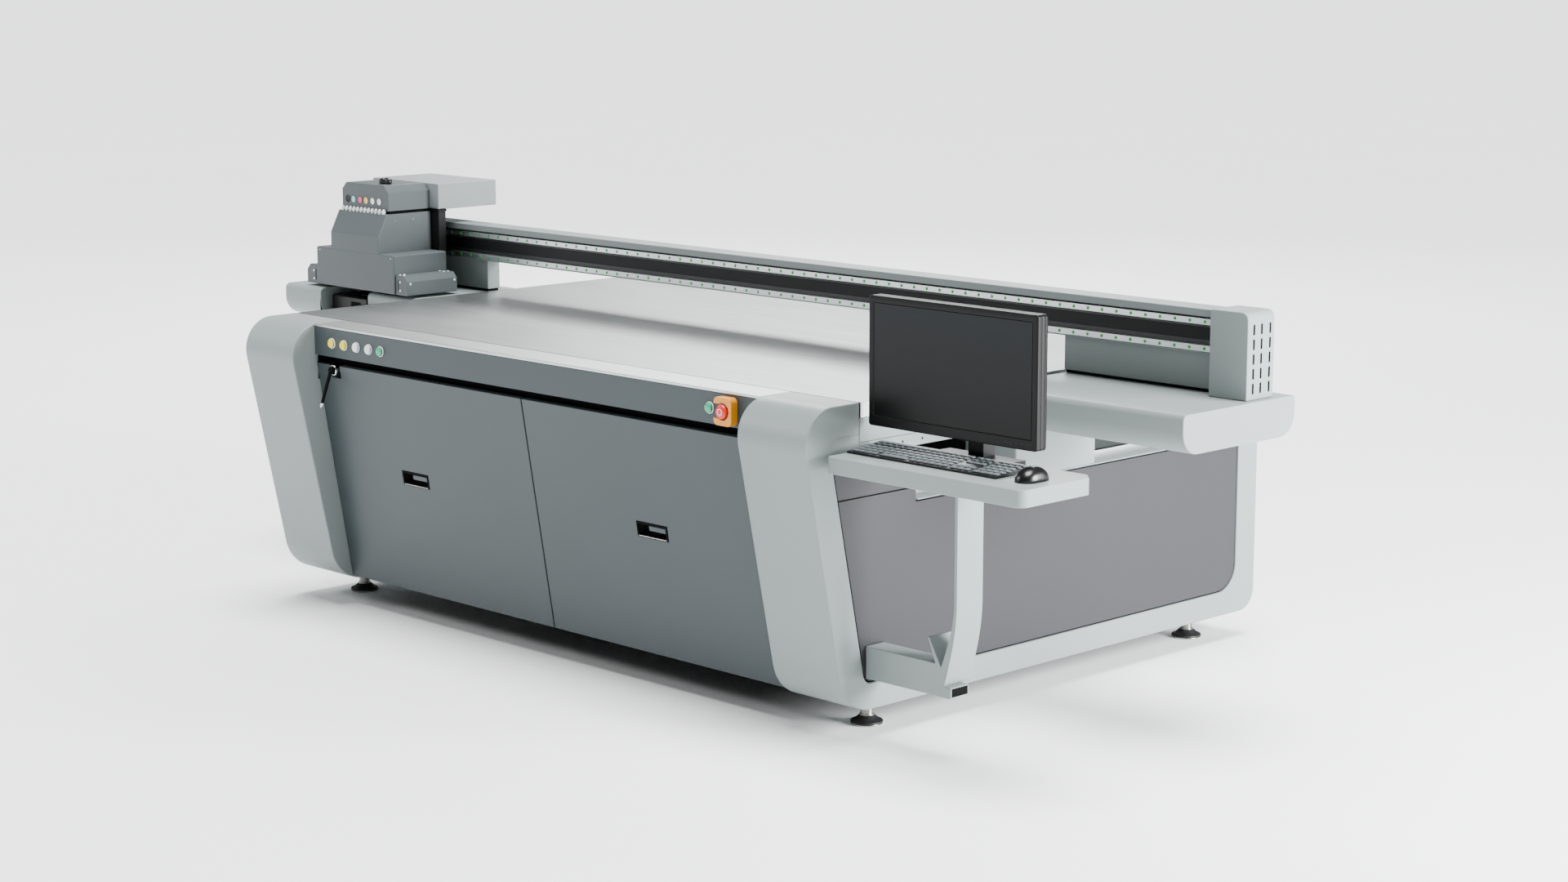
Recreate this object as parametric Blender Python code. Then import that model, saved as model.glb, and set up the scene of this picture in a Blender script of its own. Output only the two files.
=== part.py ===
"""Flatbed UV printer: a wide table on a closed stand, a gantry that rolls along the table on two side rails,
and a print carriage that crosses the gantry and lifts.

Metres, +Z up. X runs along the front, Y from the front to the rear and Z up from the floor. Every size is
measured from the middle of the front in X, from the foremost line of the front pillars in Y, and from the
floor in Z. The empty called machine carries everything and puts the origin under the middle of the machine.
"""

import math

import bmesh
import bpy
from mathutils import Vector

# Overall sizes
BODY_WIDTH = 2.520
BODY_DEPTH = 1.973
TABLE_HEIGHT = 0.921
GROUND_CLEARANCE = 0.081

# Fits
GAP = 0.0003  # between pieces that touch
SHEET = 0.003  # folded sheet of the covers
PLAY = 0.003  # round pieces that travel past others
ARC_STEPS = 10  # straight stretches in a rounded corner

# Side frames: a leaning front pillar, a bottom band, a rear band and a sill
PILLAR_WIDTH = 0.256
PILLAR_TOP_LENGTH = 0.224
PILLAR_LEAN = 0.2077  # metres back for each metre down
PILLAR_BAND = 0.091
PILLAR_TOP_HEIGHT = 0.087
PILLAR_TOP_RADIUS = 0.100
PILLAR_BOTTOM_RADIUS = 0.125
INNER_CORNER_RADIUS = 0.030
BOTTOM_BAND = 0.074
REAR_BAND = 0.095
REAR_CORNER_RADIUS = 0.065
PANEL_CORNER_RADIUS = 0.080
SILL_DROP = 0.288  # from the table's top down to the sill
SILL_PLATE = 0.004
SLOT_START = 0.450  # where the side slot for the gantry legs begins
SIDE_PANEL_SHEET = 0.003
PANEL_LAP = 0.012  # how far the side panel reaches behind the frame

# Table
BED_THICKNESS = 0.042
BED_REAR_INSET = 0.018
BED_SKIN = 0.008
BED_RIB = 0.012
BED_POCKETS = (6, 4)
SKIRT_DEPTH = 0.099
SKIRT_WALL = 0.012

# Front
FRONT_RECESS = 0.108  # of the control strip behind the pillars' foremost line
STRIP_HEIGHT = 0.097
STRIP_THICKNESS = 0.012
BACKING_SETBACK = 0.012  # of the plate behind the shadow gap, behind the doors' top
BACKING_DROP = 0.053  # how far it reaches below the doors' top
FRONT_SILL = 0.008
SHADOW_GAP = 0.026
DOOR_RECESS = 0.113
DOOR_LEAN = 0.166
DOOR_THICKNESS = 0.020
DOOR_BOTTOM = 0.014  # above the body's underside
DOOR_SPLIT = 0.005
NOTCH_PLAY = 0.007  # round the lever's boss
DOOR_SIDE_GAP = 0.002
HANDLE_WIDTH = 0.129
HANDLE_HEIGHT = 0.046
HANDLE_DEPTH = 0.030
HANDLE_RIM = 0.0015
HANDLE_WALL = 0.004
HANDLE_Z = 0.470
HANDLE_X = (-0.577, 0.507)

# Controls on the strip
CONTROL_Z_DROP = 0.053
BUTTON_X = (-0.910, -0.848, -0.784, -0.721, -0.662)
START_X = 0.810
STOP_X = 0.885
BUTTON_RADIUS = 0.0110
BUTTON_PROUD = 0.011
BUTTON_STROKE = 0.004
BUTTON_STEM = 0.022
BEZEL_RADIUS = 0.0165
BEZEL_PROUD = 0.004
STOP_RADIUS = 0.020
STOP_STEM_RADIUS = 0.010
STOP_PROUD = 0.036
GUARD_SIZE = (0.070, 0.078)
GUARD_PROUD = 0.026
GUARD_WALL = 0.007
LEVER_X = -0.910
LEVER_Z_DROP = 0.138
LEVER_BOSS_RADIUS = 0.018
LEVER_BOSS_PROUD = 0.010
LEVER_LENGTH = 0.113
LEVER_REACH = 0.044  # how far its tip stands out in front of its hub
LEVER_WIDTH = 0.012
LEVER_THICKNESS = 0.009

# Stand inside
SIDE_BEAM = (0.140, 0.136)  # width and height of the two lengthwise beams
CROSS_BEAM = 0.060
POST = 0.040
SILL_BEAM = (0.120, 0.080)
CHANNEL_WALL = 0.006

# Feet
FOOT_SIDE_INSET = 0.117
FOOT_FRONT = 0.379
FOOT_REAR_INSET = 0.180
FOOT_RADIUS = 0.045
FOOT_STUD_RADIUS = 0.014
FOOT_NUT_RADIUS = 0.021
FOOT_NUT_HEIGHT = 0.026
FOOT_DISC_HEIGHT = 0.008
FOOT_CONE = (0.004, 0.026)  # how much wider than the stud its top is, and how high
FOOT_STUD_START = 0.030

# Side rails
RAIL_INSET = 0.060
RAIL_WIDTH = 0.020
RAIL_HEIGHT = 0.022

# Operator's shelf
ARM_SIZE = (0.070, 0.088)
ARM_Y = 0.2543
ARM_Z = 0.170
ARM_WALL = 0.004
ARM_REACH = 0.270  # out from the side panel
ARM_LIP = 0.034
POST_WIDTH = 0.100
POST_THICKNESS = 0.010
POST_REACH = 0.324  # its outer face, out from the body's side
POST_SETBACK = 0.002  # of its front, before the arm's
POST_FOOT_RISE = 0.030  # of its foot above the arm's underside
POST_BEND = 0.230  # height over which the bar curves in
POST_FOOT_REACH = 0.012  # of its foot's outer face, past the arm's end
POST_VERTEX_RISE = 0.050  # of the inner crook above the foot
PRONG_REACH = 0.223
PRONG_HEIGHT = 0.124
PRONG_TIP = 0.005
PRONG_STEP = 0.004  # between the arm's end and the foot's inner point
SHELF_START = 0.025
SHELF_LENGTH = 0.667
SHELF_Y = 0.073
SHELF_DEPTH = 0.286
SHELF_TOP = 0.800
SHELF_THICKNESS = 0.045
SHELF_RADIUS = 0.030

# Screen, keyboard and mouse
SCREEN_START = 0.036  # out from the body's side
SCREEN_WIDTH = 0.577
SCREEN_HEIGHT = 0.342
SCREEN_LIFT = 0.067  # its lower edge above the shelf
SCREEN_Y = 0.220
SCREEN_THICKNESS = 0.045
SCREEN_BEZEL = 0.019
SCREEN_CHIN = 0.028
GLASS_THICKNESS = 0.003
SCREEN_RADIUS = 0.008
NECK_START = 0.340  # its middle, out from the body's side
NECK_WIDTH = 0.052
NECK_DEPTH = 0.045
PIVOT_RADIUS = 0.018
PIVOT_LIFT = 0.200  # above the shelf
STAND_BASE = (0.260, 0.057, 0.012)
KEYBOARD_START = 0.030  # out from the body's side
KEYBOARD_SIZE = (0.515, 0.135)
KEYBOARD_Y = 0.145
KEYBOARD_FRONT = 0.009
KEYBOARD_REAR = 0.021
MOUSE_CENTRE = (0.620, 0.195)  # out from the body's side, and back
MOUSE_SIZE = (0.062, 0.100, 0.036)

# Gantry
GANTRY_Y = 0.679  # front of the side housings
HOUSING_DEPTH = 0.482
HOUSING_HEIGHT = 0.108
HOUSING_DROP = 0.004  # its top below the table's top
HOUSING_GAP = 0.020  # between it and the body's side
HOUSING_REACH = 0.712  # its outer end, out from the body's side
HOUSING_TOP_RADIUS = 0.018
HOUSING_BOTTOM_RADIUS = 0.062
CAP_WIDTH = 0.125
CAP_DEPTH = 0.117
CAP_HEIGHT = 0.235
CAP_INSET = 0.021  # its outer face inside the housing's end
CAP_RADIUS = 0.022
CAP_SETBACK = 0.293  # its front behind the housing's front
BEAM_SETBACK = 0.333
BEAM_DEPTH = 0.071
BEAM_HEIGHT = 0.121
MEDIA_GAP = 0.104  # between the table and the beam
FASCIA_HEIGHT = 0.0225
FASCIA_PROUD = 0.008
BEAM_FOOT = 0.0035
TRACK_HEIGHT = 0.035
TRACK_GROOVE = 0.006
GUIDE_HEIGHT = 0.019
GUIDE_PROUD = 0.013
LOWER_GUIDE_RISE = 0.0045
UPPER_GUIDE_DROP = 0.025
SUPPORT_SETBACK = 0.349
SUPPORT_DEPTH = 0.052
SUPPORT_SHADOW = 0.008
LEG_SIZE = (0.110, 0.340)
LEG_SETBACK = 0.080
LEG_HEAD = 0.064  # height of the bracket that carries the housing
LEG_OUT = 0.080
SLOT_CLEARANCE = 0.003

# Recess in the left housing for the capping station
RECESS_FROM = 0.208  # from the housing's outer end
RECESS_WIDTH = 0.211
RECESS_DEPTH = 0.270
RECESS_FLOOR = 0.026
NOSE_SETBACK = 0.043
CAPPING_MARGIN = 0.006
CAPPING_HEIGHT = 0.062

# Carriage, parked at the left end
CARRIAGE_X = -1.5925
HEAD_Y_SETBACK = 0.021  # its front behind the housings' front
HEAD_CLEARANCE = 0.005  # above the table
LOWER_COVER = (0.441, 0.222, 0.131)
UPPER_COVER = (0.270, 0.225, 0.261)
UPPER_SHIFT = 0.0015
LOWER_SHIFT = 0.002
PLATE_SHIFT = 0.004
UPPER_SLOPE_START = 0.188
UPPER_SLOPE_BACK = 0.037
LAMP_WIDTH = 0.064
LAMP_DEPTH = 0.210
LAMP_HEIGHT = 0.066
LAMP_CHAMFER = 0.019
LAMP_FRONT = 0.005
INK_BOX_SIZE = (0.260, 0.175, 0.086)
INK_BOX_SETBACK = 0.050
INK_BOX_CHAMFER = 0.023
PLINTH_HEIGHT = 0.009
PLINTH_INSET = 0.012
REAR_BOX_SIZE = (0.367, 0.252, 0.087)
REAR_BOX_CHAMFER = 0.007
PLATE_THICKNESS = 0.030
PLATE_HEIGHT = 0.185
PLATE_FROM_TABLE = 0.079
RUNNER_LENGTH = 0.300
KNOB_OFFSET = (0.048, 0.052)
KNOB_RADIUS = 0.030
KNOB_HEIGHT = 0.020
KNOB_LOBES = 3
PRINT_HEADS = (0.230, 0.180, 0.090)

# Inside the stand
BLOWER_RADIUS = 0.150
BLOWER_LENGTH = 0.360
CABINET_SIZE = (0.600, 0.250, 0.420)

# Worked out from the sizes above
HALF_BODY = BODY_WIDTH / 2
PILLAR_INSIDE = HALF_BODY - PILLAR_WIDTH
SILL_Z = TABLE_HEIGHT - SILL_DROP
BED_UNDERSIDE = TABLE_HEIGHT - BED_THICKNESS
SKIRT_BOTTOM = BED_UNDERSIDE - GAP - SKIRT_DEPTH
BED_FRONT = PILLAR_TOP_LENGTH + GAP
BED_REAR = BODY_DEPTH - BED_REAR_INSET
STRIP_BOTTOM = TABLE_HEIGHT - STRIP_HEIGHT
DOOR_TOP = STRIP_BOTTOM - SHADOW_GAP
DOOR_LOW = GROUND_CLEARANCE + DOOR_BOTTOM
DOOR_ANGLE = math.atan(DOOR_LEAN)
CONTROL_Z = TABLE_HEIGHT - CONTROL_Z_DROP
LEVER_Z = TABLE_HEIGHT - LEVER_Z_DROP
STRIP_BACK = FRONT_RECESS + STRIP_THICKNESS
BACKING_Y = DOOR_RECESS + DOOR_THICKNESS + BACKING_SETBACK
SHELF_X = HALF_BODY + SHELF_START
SCREEN_X = HALF_BODY + SCREEN_START
NECK_X = HALF_BODY + NECK_START
KEYBOARD_X = HALF_BODY + KEYBOARD_START
RAIL_X = HALF_BODY - RAIL_INSET
RAIL_TOP = SILL_Z + GAP + RAIL_HEIGHT
HOUSING_TOP = TABLE_HEIGHT - HOUSING_DROP
HOUSING_BOTTOM = HOUSING_TOP - HOUSING_HEIGHT
HOUSING_INNER = HALF_BODY + HOUSING_GAP
HOUSING_OUTER = HALF_BODY + HOUSING_REACH
CAP_OUTER = HOUSING_OUTER - CAP_INSET
CAP_INNER = CAP_OUTER - CAP_WIDTH
CAP_Y = GANTRY_Y + CAP_SETBACK
BEAM_Y = GANTRY_Y + BEAM_SETBACK
BEAM_Z = TABLE_HEIGHT + MEDIA_GAP
BEAM_TOP = BEAM_Z + BEAM_HEIGHT
BEAM_HALF = CAP_INNER - GAP
LOWER_GUIDE_Z = BEAM_Z + LOWER_GUIDE_RISE
UPPER_GUIDE_Z = BEAM_TOP - UPPER_GUIDE_DROP - GUIDE_HEIGHT
GUIDE_FRONT = BEAM_Y - GAP - GUIDE_PROUD
HEAD_Y = GANTRY_Y + HEAD_Y_SETBACK
HEAD_Z = TABLE_HEIGHT + HEAD_CLEARANCE
PLATE_Y = HEAD_Y + UPPER_COVER[1] + GAP
UPPER_X = CARRIAGE_X + UPPER_SHIFT
INK_BOX_Z = HEAD_Z + UPPER_COVER[2] + GAP + PLINTH_HEIGHT
PIVOT_Y = SCREEN_Y + SCREEN_THICKNESS + PIVOT_RADIUS
PIVOT_Z = SHELF_TOP + PIVOT_LIFT
GLASS_POCKET = GLASS_THICKNESS + 2 * GAP


def material(name, colour, roughness, metallic=0.0):
    """A Principled BSDF of one colour, given as linear red, green and blue."""
    made = bpy.data.materials.new(name)
    made.use_nodes = True
    shader = made.node_tree.nodes["Principled BSDF"]
    shader.inputs["Base Color"].default_value = (*colour, 1.0)
    shader.inputs["Roughness"].default_value = roughness
    shader.inputs["Metallic"].default_value = metallic
    return made


def empty(name, location, parent=None):
    """An empty at a place measured as every size is, under its parent."""
    made = bpy.data.objects.new(name, None)
    bpy.context.scene.collection.objects.link(made)
    made["place"] = location
    made.parent = parent
    made.location = Vector(location) - Vector(parent["place"] if parent else (0, 0, 0))
    return made


def add_object(name, shape, body, paint, origin=None, turn=0.0):
    """An object from a bmesh. Its origin is its body's empty, or a place of its own; turn is about X."""
    place = Vector(origin if origin is not None else body["place"])
    if turn == 0.0:
        bmesh.ops.translate(shape, verts=shape.verts, vec=-place)
    bmesh.ops.recalc_face_normals(shape, faces=shape.faces)
    mesh = bpy.data.meshes.new(name)
    shape.to_mesh(mesh)
    shape.free()
    made = bpy.data.objects.new(name, mesh)
    bpy.context.scene.collection.objects.link(made)
    if paint:
        mesh.materials.append(paint)
    made.parent = body
    made.location = place - Vector(body["place"])
    made.rotation_euler.x = turn
    return made


def rounded(corners, steps=ARC_STEPS):
    """An outline whose corners, given as (u, v) or (u, v, radius), are rounded by arcs."""
    points = []
    for index, corner in enumerate(corners):
        here = Vector(corner[:2])
        if len(corner) == 2:
            points.append(tuple(here))
            continue
        before = (Vector(corners[index - 1][:2]) - here).normalized()
        after = (Vector(corners[(index + 1) % len(corners)][:2]) - here).normalized()
        half = before.angle(after) / 2
        centre = here + (before + after).normalized() * corner[2] / math.sin(half)
        start = here + before * corner[2] / math.tan(half) - centre
        end = here + after * corner[2] / math.tan(half) - centre
        sweep = start.angle_signed(end)
        for step in range(steps + 1):
            turned = start.copy()
            angle = -sweep * step / steps
            turned.x = start.x * math.cos(angle) - start.y * math.sin(angle)
            turned.y = start.x * math.sin(angle) + start.y * math.cos(angle)
            points.append(tuple(centre + turned))
    return points


def prism(outline, axis, low, high):
    """A bmesh of an outline carried along an axis. The outline's u, v are the other two axes in X, Y, Z order."""
    shape = bmesh.new()
    place = {
        "x": lambda u, v, w: (w, u, v),
        "y": lambda u, v, w: (u, w, v),
        "z": lambda u, v, w: (u, v, w),
    }[axis]
    rings = [[shape.verts.new(place(u, v, w)) for u, v in outline] for w in (low, high)]
    for ring in rings:
        shape.faces.new(ring)
    count = len(outline)
    for index in range(count):
        after = (index + 1) % count
        shape.faces.new((rings[0][index], rings[0][after], rings[1][after], rings[1][index]))
    return shape


def boxes(corner_pairs):
    """A bmesh of several boxes that stay clear of each other."""
    shape = bmesh.new()
    for low, high in corner_pairs:
        part = box(low, high)
        mesh = bpy.data.meshes.new("part")
        part.to_mesh(mesh)
        part.free()
        shape.from_mesh(mesh)
        bpy.data.meshes.remove(mesh)
    return shape


def box(low, high):
    """A bmesh of a box between two corners."""
    outline = [(low[0], low[1]), (high[0], low[1]), (high[0], high[1]), (low[0], high[1])]
    return prism(outline, "z", low[2], high[2])


def turned(profile, axis, centre, segments=24):
    """A bmesh of a profile of (radius, height) points turned round an axis through the centre."""
    shape = bmesh.new()
    rings = []
    for radius, height in profile:
        ring = []
        for step in range(segments if radius > 0 else 1):
            angle = 2 * math.pi * step / segments
            u = radius * math.cos(angle)
            v = radius * math.sin(angle)
            point = {"x": (height, u, v), "y": (u, height, v), "z": (u, v, height)}[axis]
            ring.append(shape.verts.new(Vector(point) + Vector(centre)))
        rings.append(ring)
    for below, above in zip(rings, rings[1:]):
        for step in range(segments):
            after = (step + 1) % segments
            corners = [below[step % len(below)], below[after % len(below)]]
            corners += [above[after % len(above)], above[step % len(above)]]
            shape.faces.new(list(dict.fromkeys(corners)))
    return shape


def combine(target, shapes, operation):
    """Joins shapes to the target, or cuts them from it, with Booleans whose helpers stay hidden."""
    for shape in shapes:
        number = len(target.modifiers)
        helper = add_object(f"{target.name}.{operation.lower()}{number}", shape, target.parent, None)
        helper.hide_render = True
        helper.display_type = "WIRE"
        boolean = target.modifiers.new(f"{operation.title()} {number}", "BOOLEAN")
        boolean.operation = operation
        boolean.solver = "EXACT"
        boolean.object = helper
    return target


def cut(target, *shapes):
    return combine(target, shapes, "DIFFERENCE")


def join(target, *shapes):
    return combine(target, shapes, "UNION")


def smooth(target, degrees=35):
    target.data.shade_smooth()
    target.data.set_sharp_from_angle(angle=math.radians(degrees))
    return target


def sides():
    """The two sides' names with the sign of their X."""
    return (("left", -1), ("right", 1))


def span(sign, inner, outer):
    """Low and high X of a stretch between two distances from the middle, on either side."""
    return min(sign * inner, sign * outer), max(sign * inner, sign * outer)


def pillar_front(z):
    """Y of the pillars' leaning front at a height."""
    return PILLAR_LEAN * (TABLE_HEIGHT - z)


def pillar_back(z):
    return pillar_front(z) + PILLAR_BAND


def door_front(z):
    """Y of the doors' leaning front at a height."""
    return DOOR_RECESS + DOOR_LEAN * (DOOR_TOP - z)


def frame_outline():
    """Side view of a side frame, from the pillar's top round the bottom to the sill."""
    inner_low = GROUND_CLEARANCE + BOTTOM_BAND
    inner_high = TABLE_HEIGHT - PILLAR_TOP_HEIGHT
    rear = BODY_DEPTH - REAR_BAND
    return rounded([
        (PILLAR_TOP_LENGTH, TABLE_HEIGHT),
        (0.0, TABLE_HEIGHT, PILLAR_TOP_RADIUS),
        (pillar_front(GROUND_CLEARANCE), GROUND_CLEARANCE, PILLAR_BOTTOM_RADIUS),
        (BODY_DEPTH, GROUND_CLEARANCE, REAR_CORNER_RADIUS),
        (BODY_DEPTH, SILL_Z),
        (SLOT_START, SILL_Z),
        (SLOT_START, SILL_Z - SILL_PLATE),
        (rear, SILL_Z - SILL_PLATE),
        (rear, inner_low, PANEL_CORNER_RADIUS),
        (pillar_back(inner_low), inner_low, INNER_CORNER_RADIUS),
        (pillar_back(inner_high), inner_high, INNER_CORNER_RADIUS),
        (PILLAR_TOP_LENGTH, inner_high),
    ])


def frame_hollow_outline():
    """The hollow of a side frame: one sheet inside its outer line, and past its inner line."""
    past = SHEET * 3
    high = TABLE_HEIGHT - SHEET
    low = GROUND_CLEARANCE + SHEET
    inner_low = GROUND_CLEARANCE + BOTTOM_BAND + past
    inner_high = TABLE_HEIGHT - PILLAR_TOP_HEIGHT - past
    rear = BODY_DEPTH - REAR_BAND - past
    return rounded([
        (PILLAR_TOP_LENGTH - SHEET, high),
        (pillar_front(high) + SHEET, high, PILLAR_TOP_RADIUS - SHEET),
        (pillar_front(low) + SHEET, low, PILLAR_BOTTOM_RADIUS - SHEET),
        (BODY_DEPTH - SHEET, low, REAR_CORNER_RADIUS - SHEET),
        (BODY_DEPTH - SHEET, SILL_Z - SILL_PLATE),
        (rear, SILL_Z - SILL_PLATE),
        (rear, inner_low, PANEL_CORNER_RADIUS),
        (pillar_back(inner_low) + past, inner_low, INNER_CORNER_RADIUS),
        (pillar_back(inner_high) + past, inner_high),
        (PILLAR_TOP_LENGTH - SHEET, inner_high),
    ])


def panel_outline():
    """Side view of a dark side panel: under the slot behind SLOT_START, and up to the skirt before it."""
    lap = PANEL_LAP
    low = GROUND_CLEARANCE + BOTTOM_BAND - lap
    top = SKIRT_BOTTOM - GAP
    rear = BODY_DEPTH - REAR_BAND + lap
    under_sill = SILL_Z - SILL_PLATE - GAP
    step = SLOT_START - GAP
    return rounded([
        (pillar_back(top) - lap, top),
        (pillar_back(low) - lap, low, INNER_CORNER_RADIUS),
        (rear, low, PANEL_CORNER_RADIUS),
        (rear, under_sill),
        (step, under_sill),
        (step, top),
    ])


def build_side(name, sign, body, paints):
    """A side frame, its dark panel and the rail on its sill."""
    low, high = span(sign, PILLAR_INSIDE, HALF_BODY)
    frame = add_object(f"{name}_side_frame", prism(frame_outline(), "x", low, high), body, paints["cover"])
    cut(frame, prism(frame_hollow_outline(), "x", low + SHEET, high - SHEET))

    outside = HALF_BODY - SHEET - GAP
    low, high = span(sign, outside - SIDE_PANEL_SHEET, outside)
    panel = add_object(f"{name}_side_panel", prism(panel_outline(), "x", low, high), body, paints["panel"])
    if sign > 0:
        hole = (PLAY, PLAY)
        cut(panel, box(
            (low - PLAY, ARM_Y - hole[0], ARM_Z - hole[1]),
            (high + PLAY, ARM_Y + ARM_SIZE[0] + hole[0], ARM_Z + ARM_SIZE[1] + hole[1]),
        ))

    low, high = span(sign, RAIL_X - RAIL_WIDTH / 2, RAIL_X + RAIL_WIDTH / 2)
    rail = box((low, SLOT_START + GAP, SILL_Z + GAP), (high, BODY_DEPTH - SHEET, RAIL_TOP))
    add_object(f"{name}_side_rail", rail, body, paints["steel"])


def build_stand(body, paints):
    """The welded stand inside: lengthwise and sill channels, cross channels, and posts up to the table."""
    low = GROUND_CLEARANCE + SHEET + GAP
    beam_outer = HALF_BODY - SHEET - SIDE_PANEL_SHEET - 2 * GAP - FOOT_RADIUS
    beam_inner = beam_outer - SIDE_BEAM[0]
    sill_inner = beam_outer - SILL_BEAM[0]
    beam_top = low + SIDE_BEAM[1]
    front = FOOT_FRONT - 2 * FOOT_RADIUS
    rear = BODY_DEPTH - REAR_CORNER_RADIUS - SHEET
    under_bed = BED_UNDERSIDE - GAP
    sill_top = SILL_Z - SILL_PLATE - GAP
    inside = PILLAR_INSIDE - GAP
    wall = CHANNEL_WALL
    last_row = BODY_DEPTH - REAR_BAND - PANEL_CORNER_RADIUS - CROSS_BEAM
    rows = (FOOT_FRONT, (FOOT_FRONT + last_row) / 2, last_row)
    channels = []
    hollows = []
    posts = []
    for _, sign in sides():
        for inner, bottom, top, start in (
            (beam_inner, low, beam_top, front),
            (sill_inner, sill_top - SILL_BEAM[1], sill_top, SLOT_START + POST),
        ):
            first, last = span(sign, inner, beam_outer)
            channels.append(box((first, start, bottom), (last, rear, top)))
            first, last = span(sign, inner - wall, beam_outer - wall)
            hollows.append(box((first, start + wall, bottom + wall), (last, rear - wall, top - wall)))
        for y in rows:
            first, last = span(sign, beam_outer - POST, beam_outer)
            at = max(y, SLOT_START + POST)
            posts.append(box((first, at, beam_top - POST), (last, at + POST, sill_top - POST)))
            first, last = span(sign, inside - POST, inside)
            posts.append(box((first, y, beam_top - CROSS_BEAM), (last, y + POST, under_bed)))
    for y in rows:
        for reach, top in ((beam_inner + POST, beam_top), (inside, under_bed)):
            channels.append(box((-reach, y, top - CROSS_BEAM), (reach, y + CROSS_BEAM, top)))
            hollow = inside - 2 * POST
            hollows.append(box(
                (-hollow, y + wall, top - CROSS_BEAM - wall),
                (hollow, y + CROSS_BEAM - wall, top - wall),
            ))
    stand = add_object("welded_stand", channels[0], body, paints["steel_paint"])
    join(stand, *channels[1:])
    cut(stand, *hollows)
    join(stand, *posts)


def build_table(body, paints):
    """The vacuum bed on its skirt, the front sill and the rear panel."""
    width = HALF_BODY
    bed = box((-width, BED_FRONT, BED_UNDERSIDE), (width, BED_REAR, TABLE_HEIGHT))
    bed = add_object("vacuum_bed", bed, body, paints["bed"])
    columns, rows = BED_POCKETS
    step_x = (2 * width - BED_RIB) / columns
    step_y = (BED_REAR - BED_FRONT - BED_RIB) / rows
    pockets = []
    for column in range(columns):
        for row in range(rows):
            x = BED_RIB - width + column * step_x
            y = BED_FRONT + BED_RIB + row * step_y
            pockets.append((
                (x, y, BED_UNDERSIDE - SHEET),
                (x + step_x - BED_RIB, y + step_y - BED_RIB, TABLE_HEIGHT - BED_SKIN),
            ))
    cut(bed, boxes(pockets))
    top = BED_UNDERSIDE - GAP
    skirt = box((-width, BED_FRONT, SKIRT_BOTTOM), (width, BED_REAR, top))
    skirt = add_object("table_skirt", skirt, body, paints["cover"])
    cut(skirt, box(
        (SKIRT_WALL - width, BED_FRONT + SKIRT_WALL, SKIRT_BOTTOM - SHEET),
        (width - SKIRT_WALL, BED_REAR - SKIRT_WALL, top + SHEET),
    ))
    inside = PILLAR_INSIDE - GAP
    sill = box((-inside, FRONT_RECESS, TABLE_HEIGHT - FRONT_SILL), (inside, PILLAR_TOP_LENGTH, TABLE_HEIGHT))
    add_object("front_sill", sill, body, paints["bed"])
    rear = box(
        (-inside, BODY_DEPTH - REAR_CORNER_RADIUS + GAP, GROUND_CLEARANCE + BOTTOM_BAND),
        (inside, BODY_DEPTH - REAR_CORNER_RADIUS + GAP + SHEET, SKIRT_BOTTOM - GAP),
    )
    add_object("rear_panel", rear, body, paints["panel"])


def build_strip(body, paints):
    """The control strip with a hole for each control, and the backing of the shadow gap under it."""
    inside = PILLAR_INSIDE - GAP
    top = TABLE_HEIGHT - FRONT_SILL - GAP
    outline = [
        (FRONT_RECESS, top),
        (FRONT_RECESS, STRIP_BOTTOM),
        (STRIP_BACK, STRIP_BOTTOM),
        (STRIP_BACK, top - SHEET),
        (BACKING_Y, top - SHEET),
        (BACKING_Y, DOOR_TOP - BACKING_DROP),
        (BACKING_Y + SHEET, DOOR_TOP - BACKING_DROP),
        (BACKING_Y + SHEET, top),
    ]
    strip = add_object("control_strip", prism(outline, "x", -inside, inside), body, paints["panel"])
    radii = {x: BUTTON_RADIUS for x in (*BUTTON_X, START_X)}
    radii[STOP_X] = STOP_STEM_RADIUS
    for x, radius in radii.items():
        bore = [(0, -STRIP_THICKNESS), (radius + GAP, -STRIP_THICKNESS)]
        bore += [(radius + GAP, 1.5 * STRIP_THICKNESS), (0, 1.5 * STRIP_THICKNESS)]
        cut(strip, turned(bore, "y", (x, FRONT_RECESS, CONTROL_Z), 16))


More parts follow.
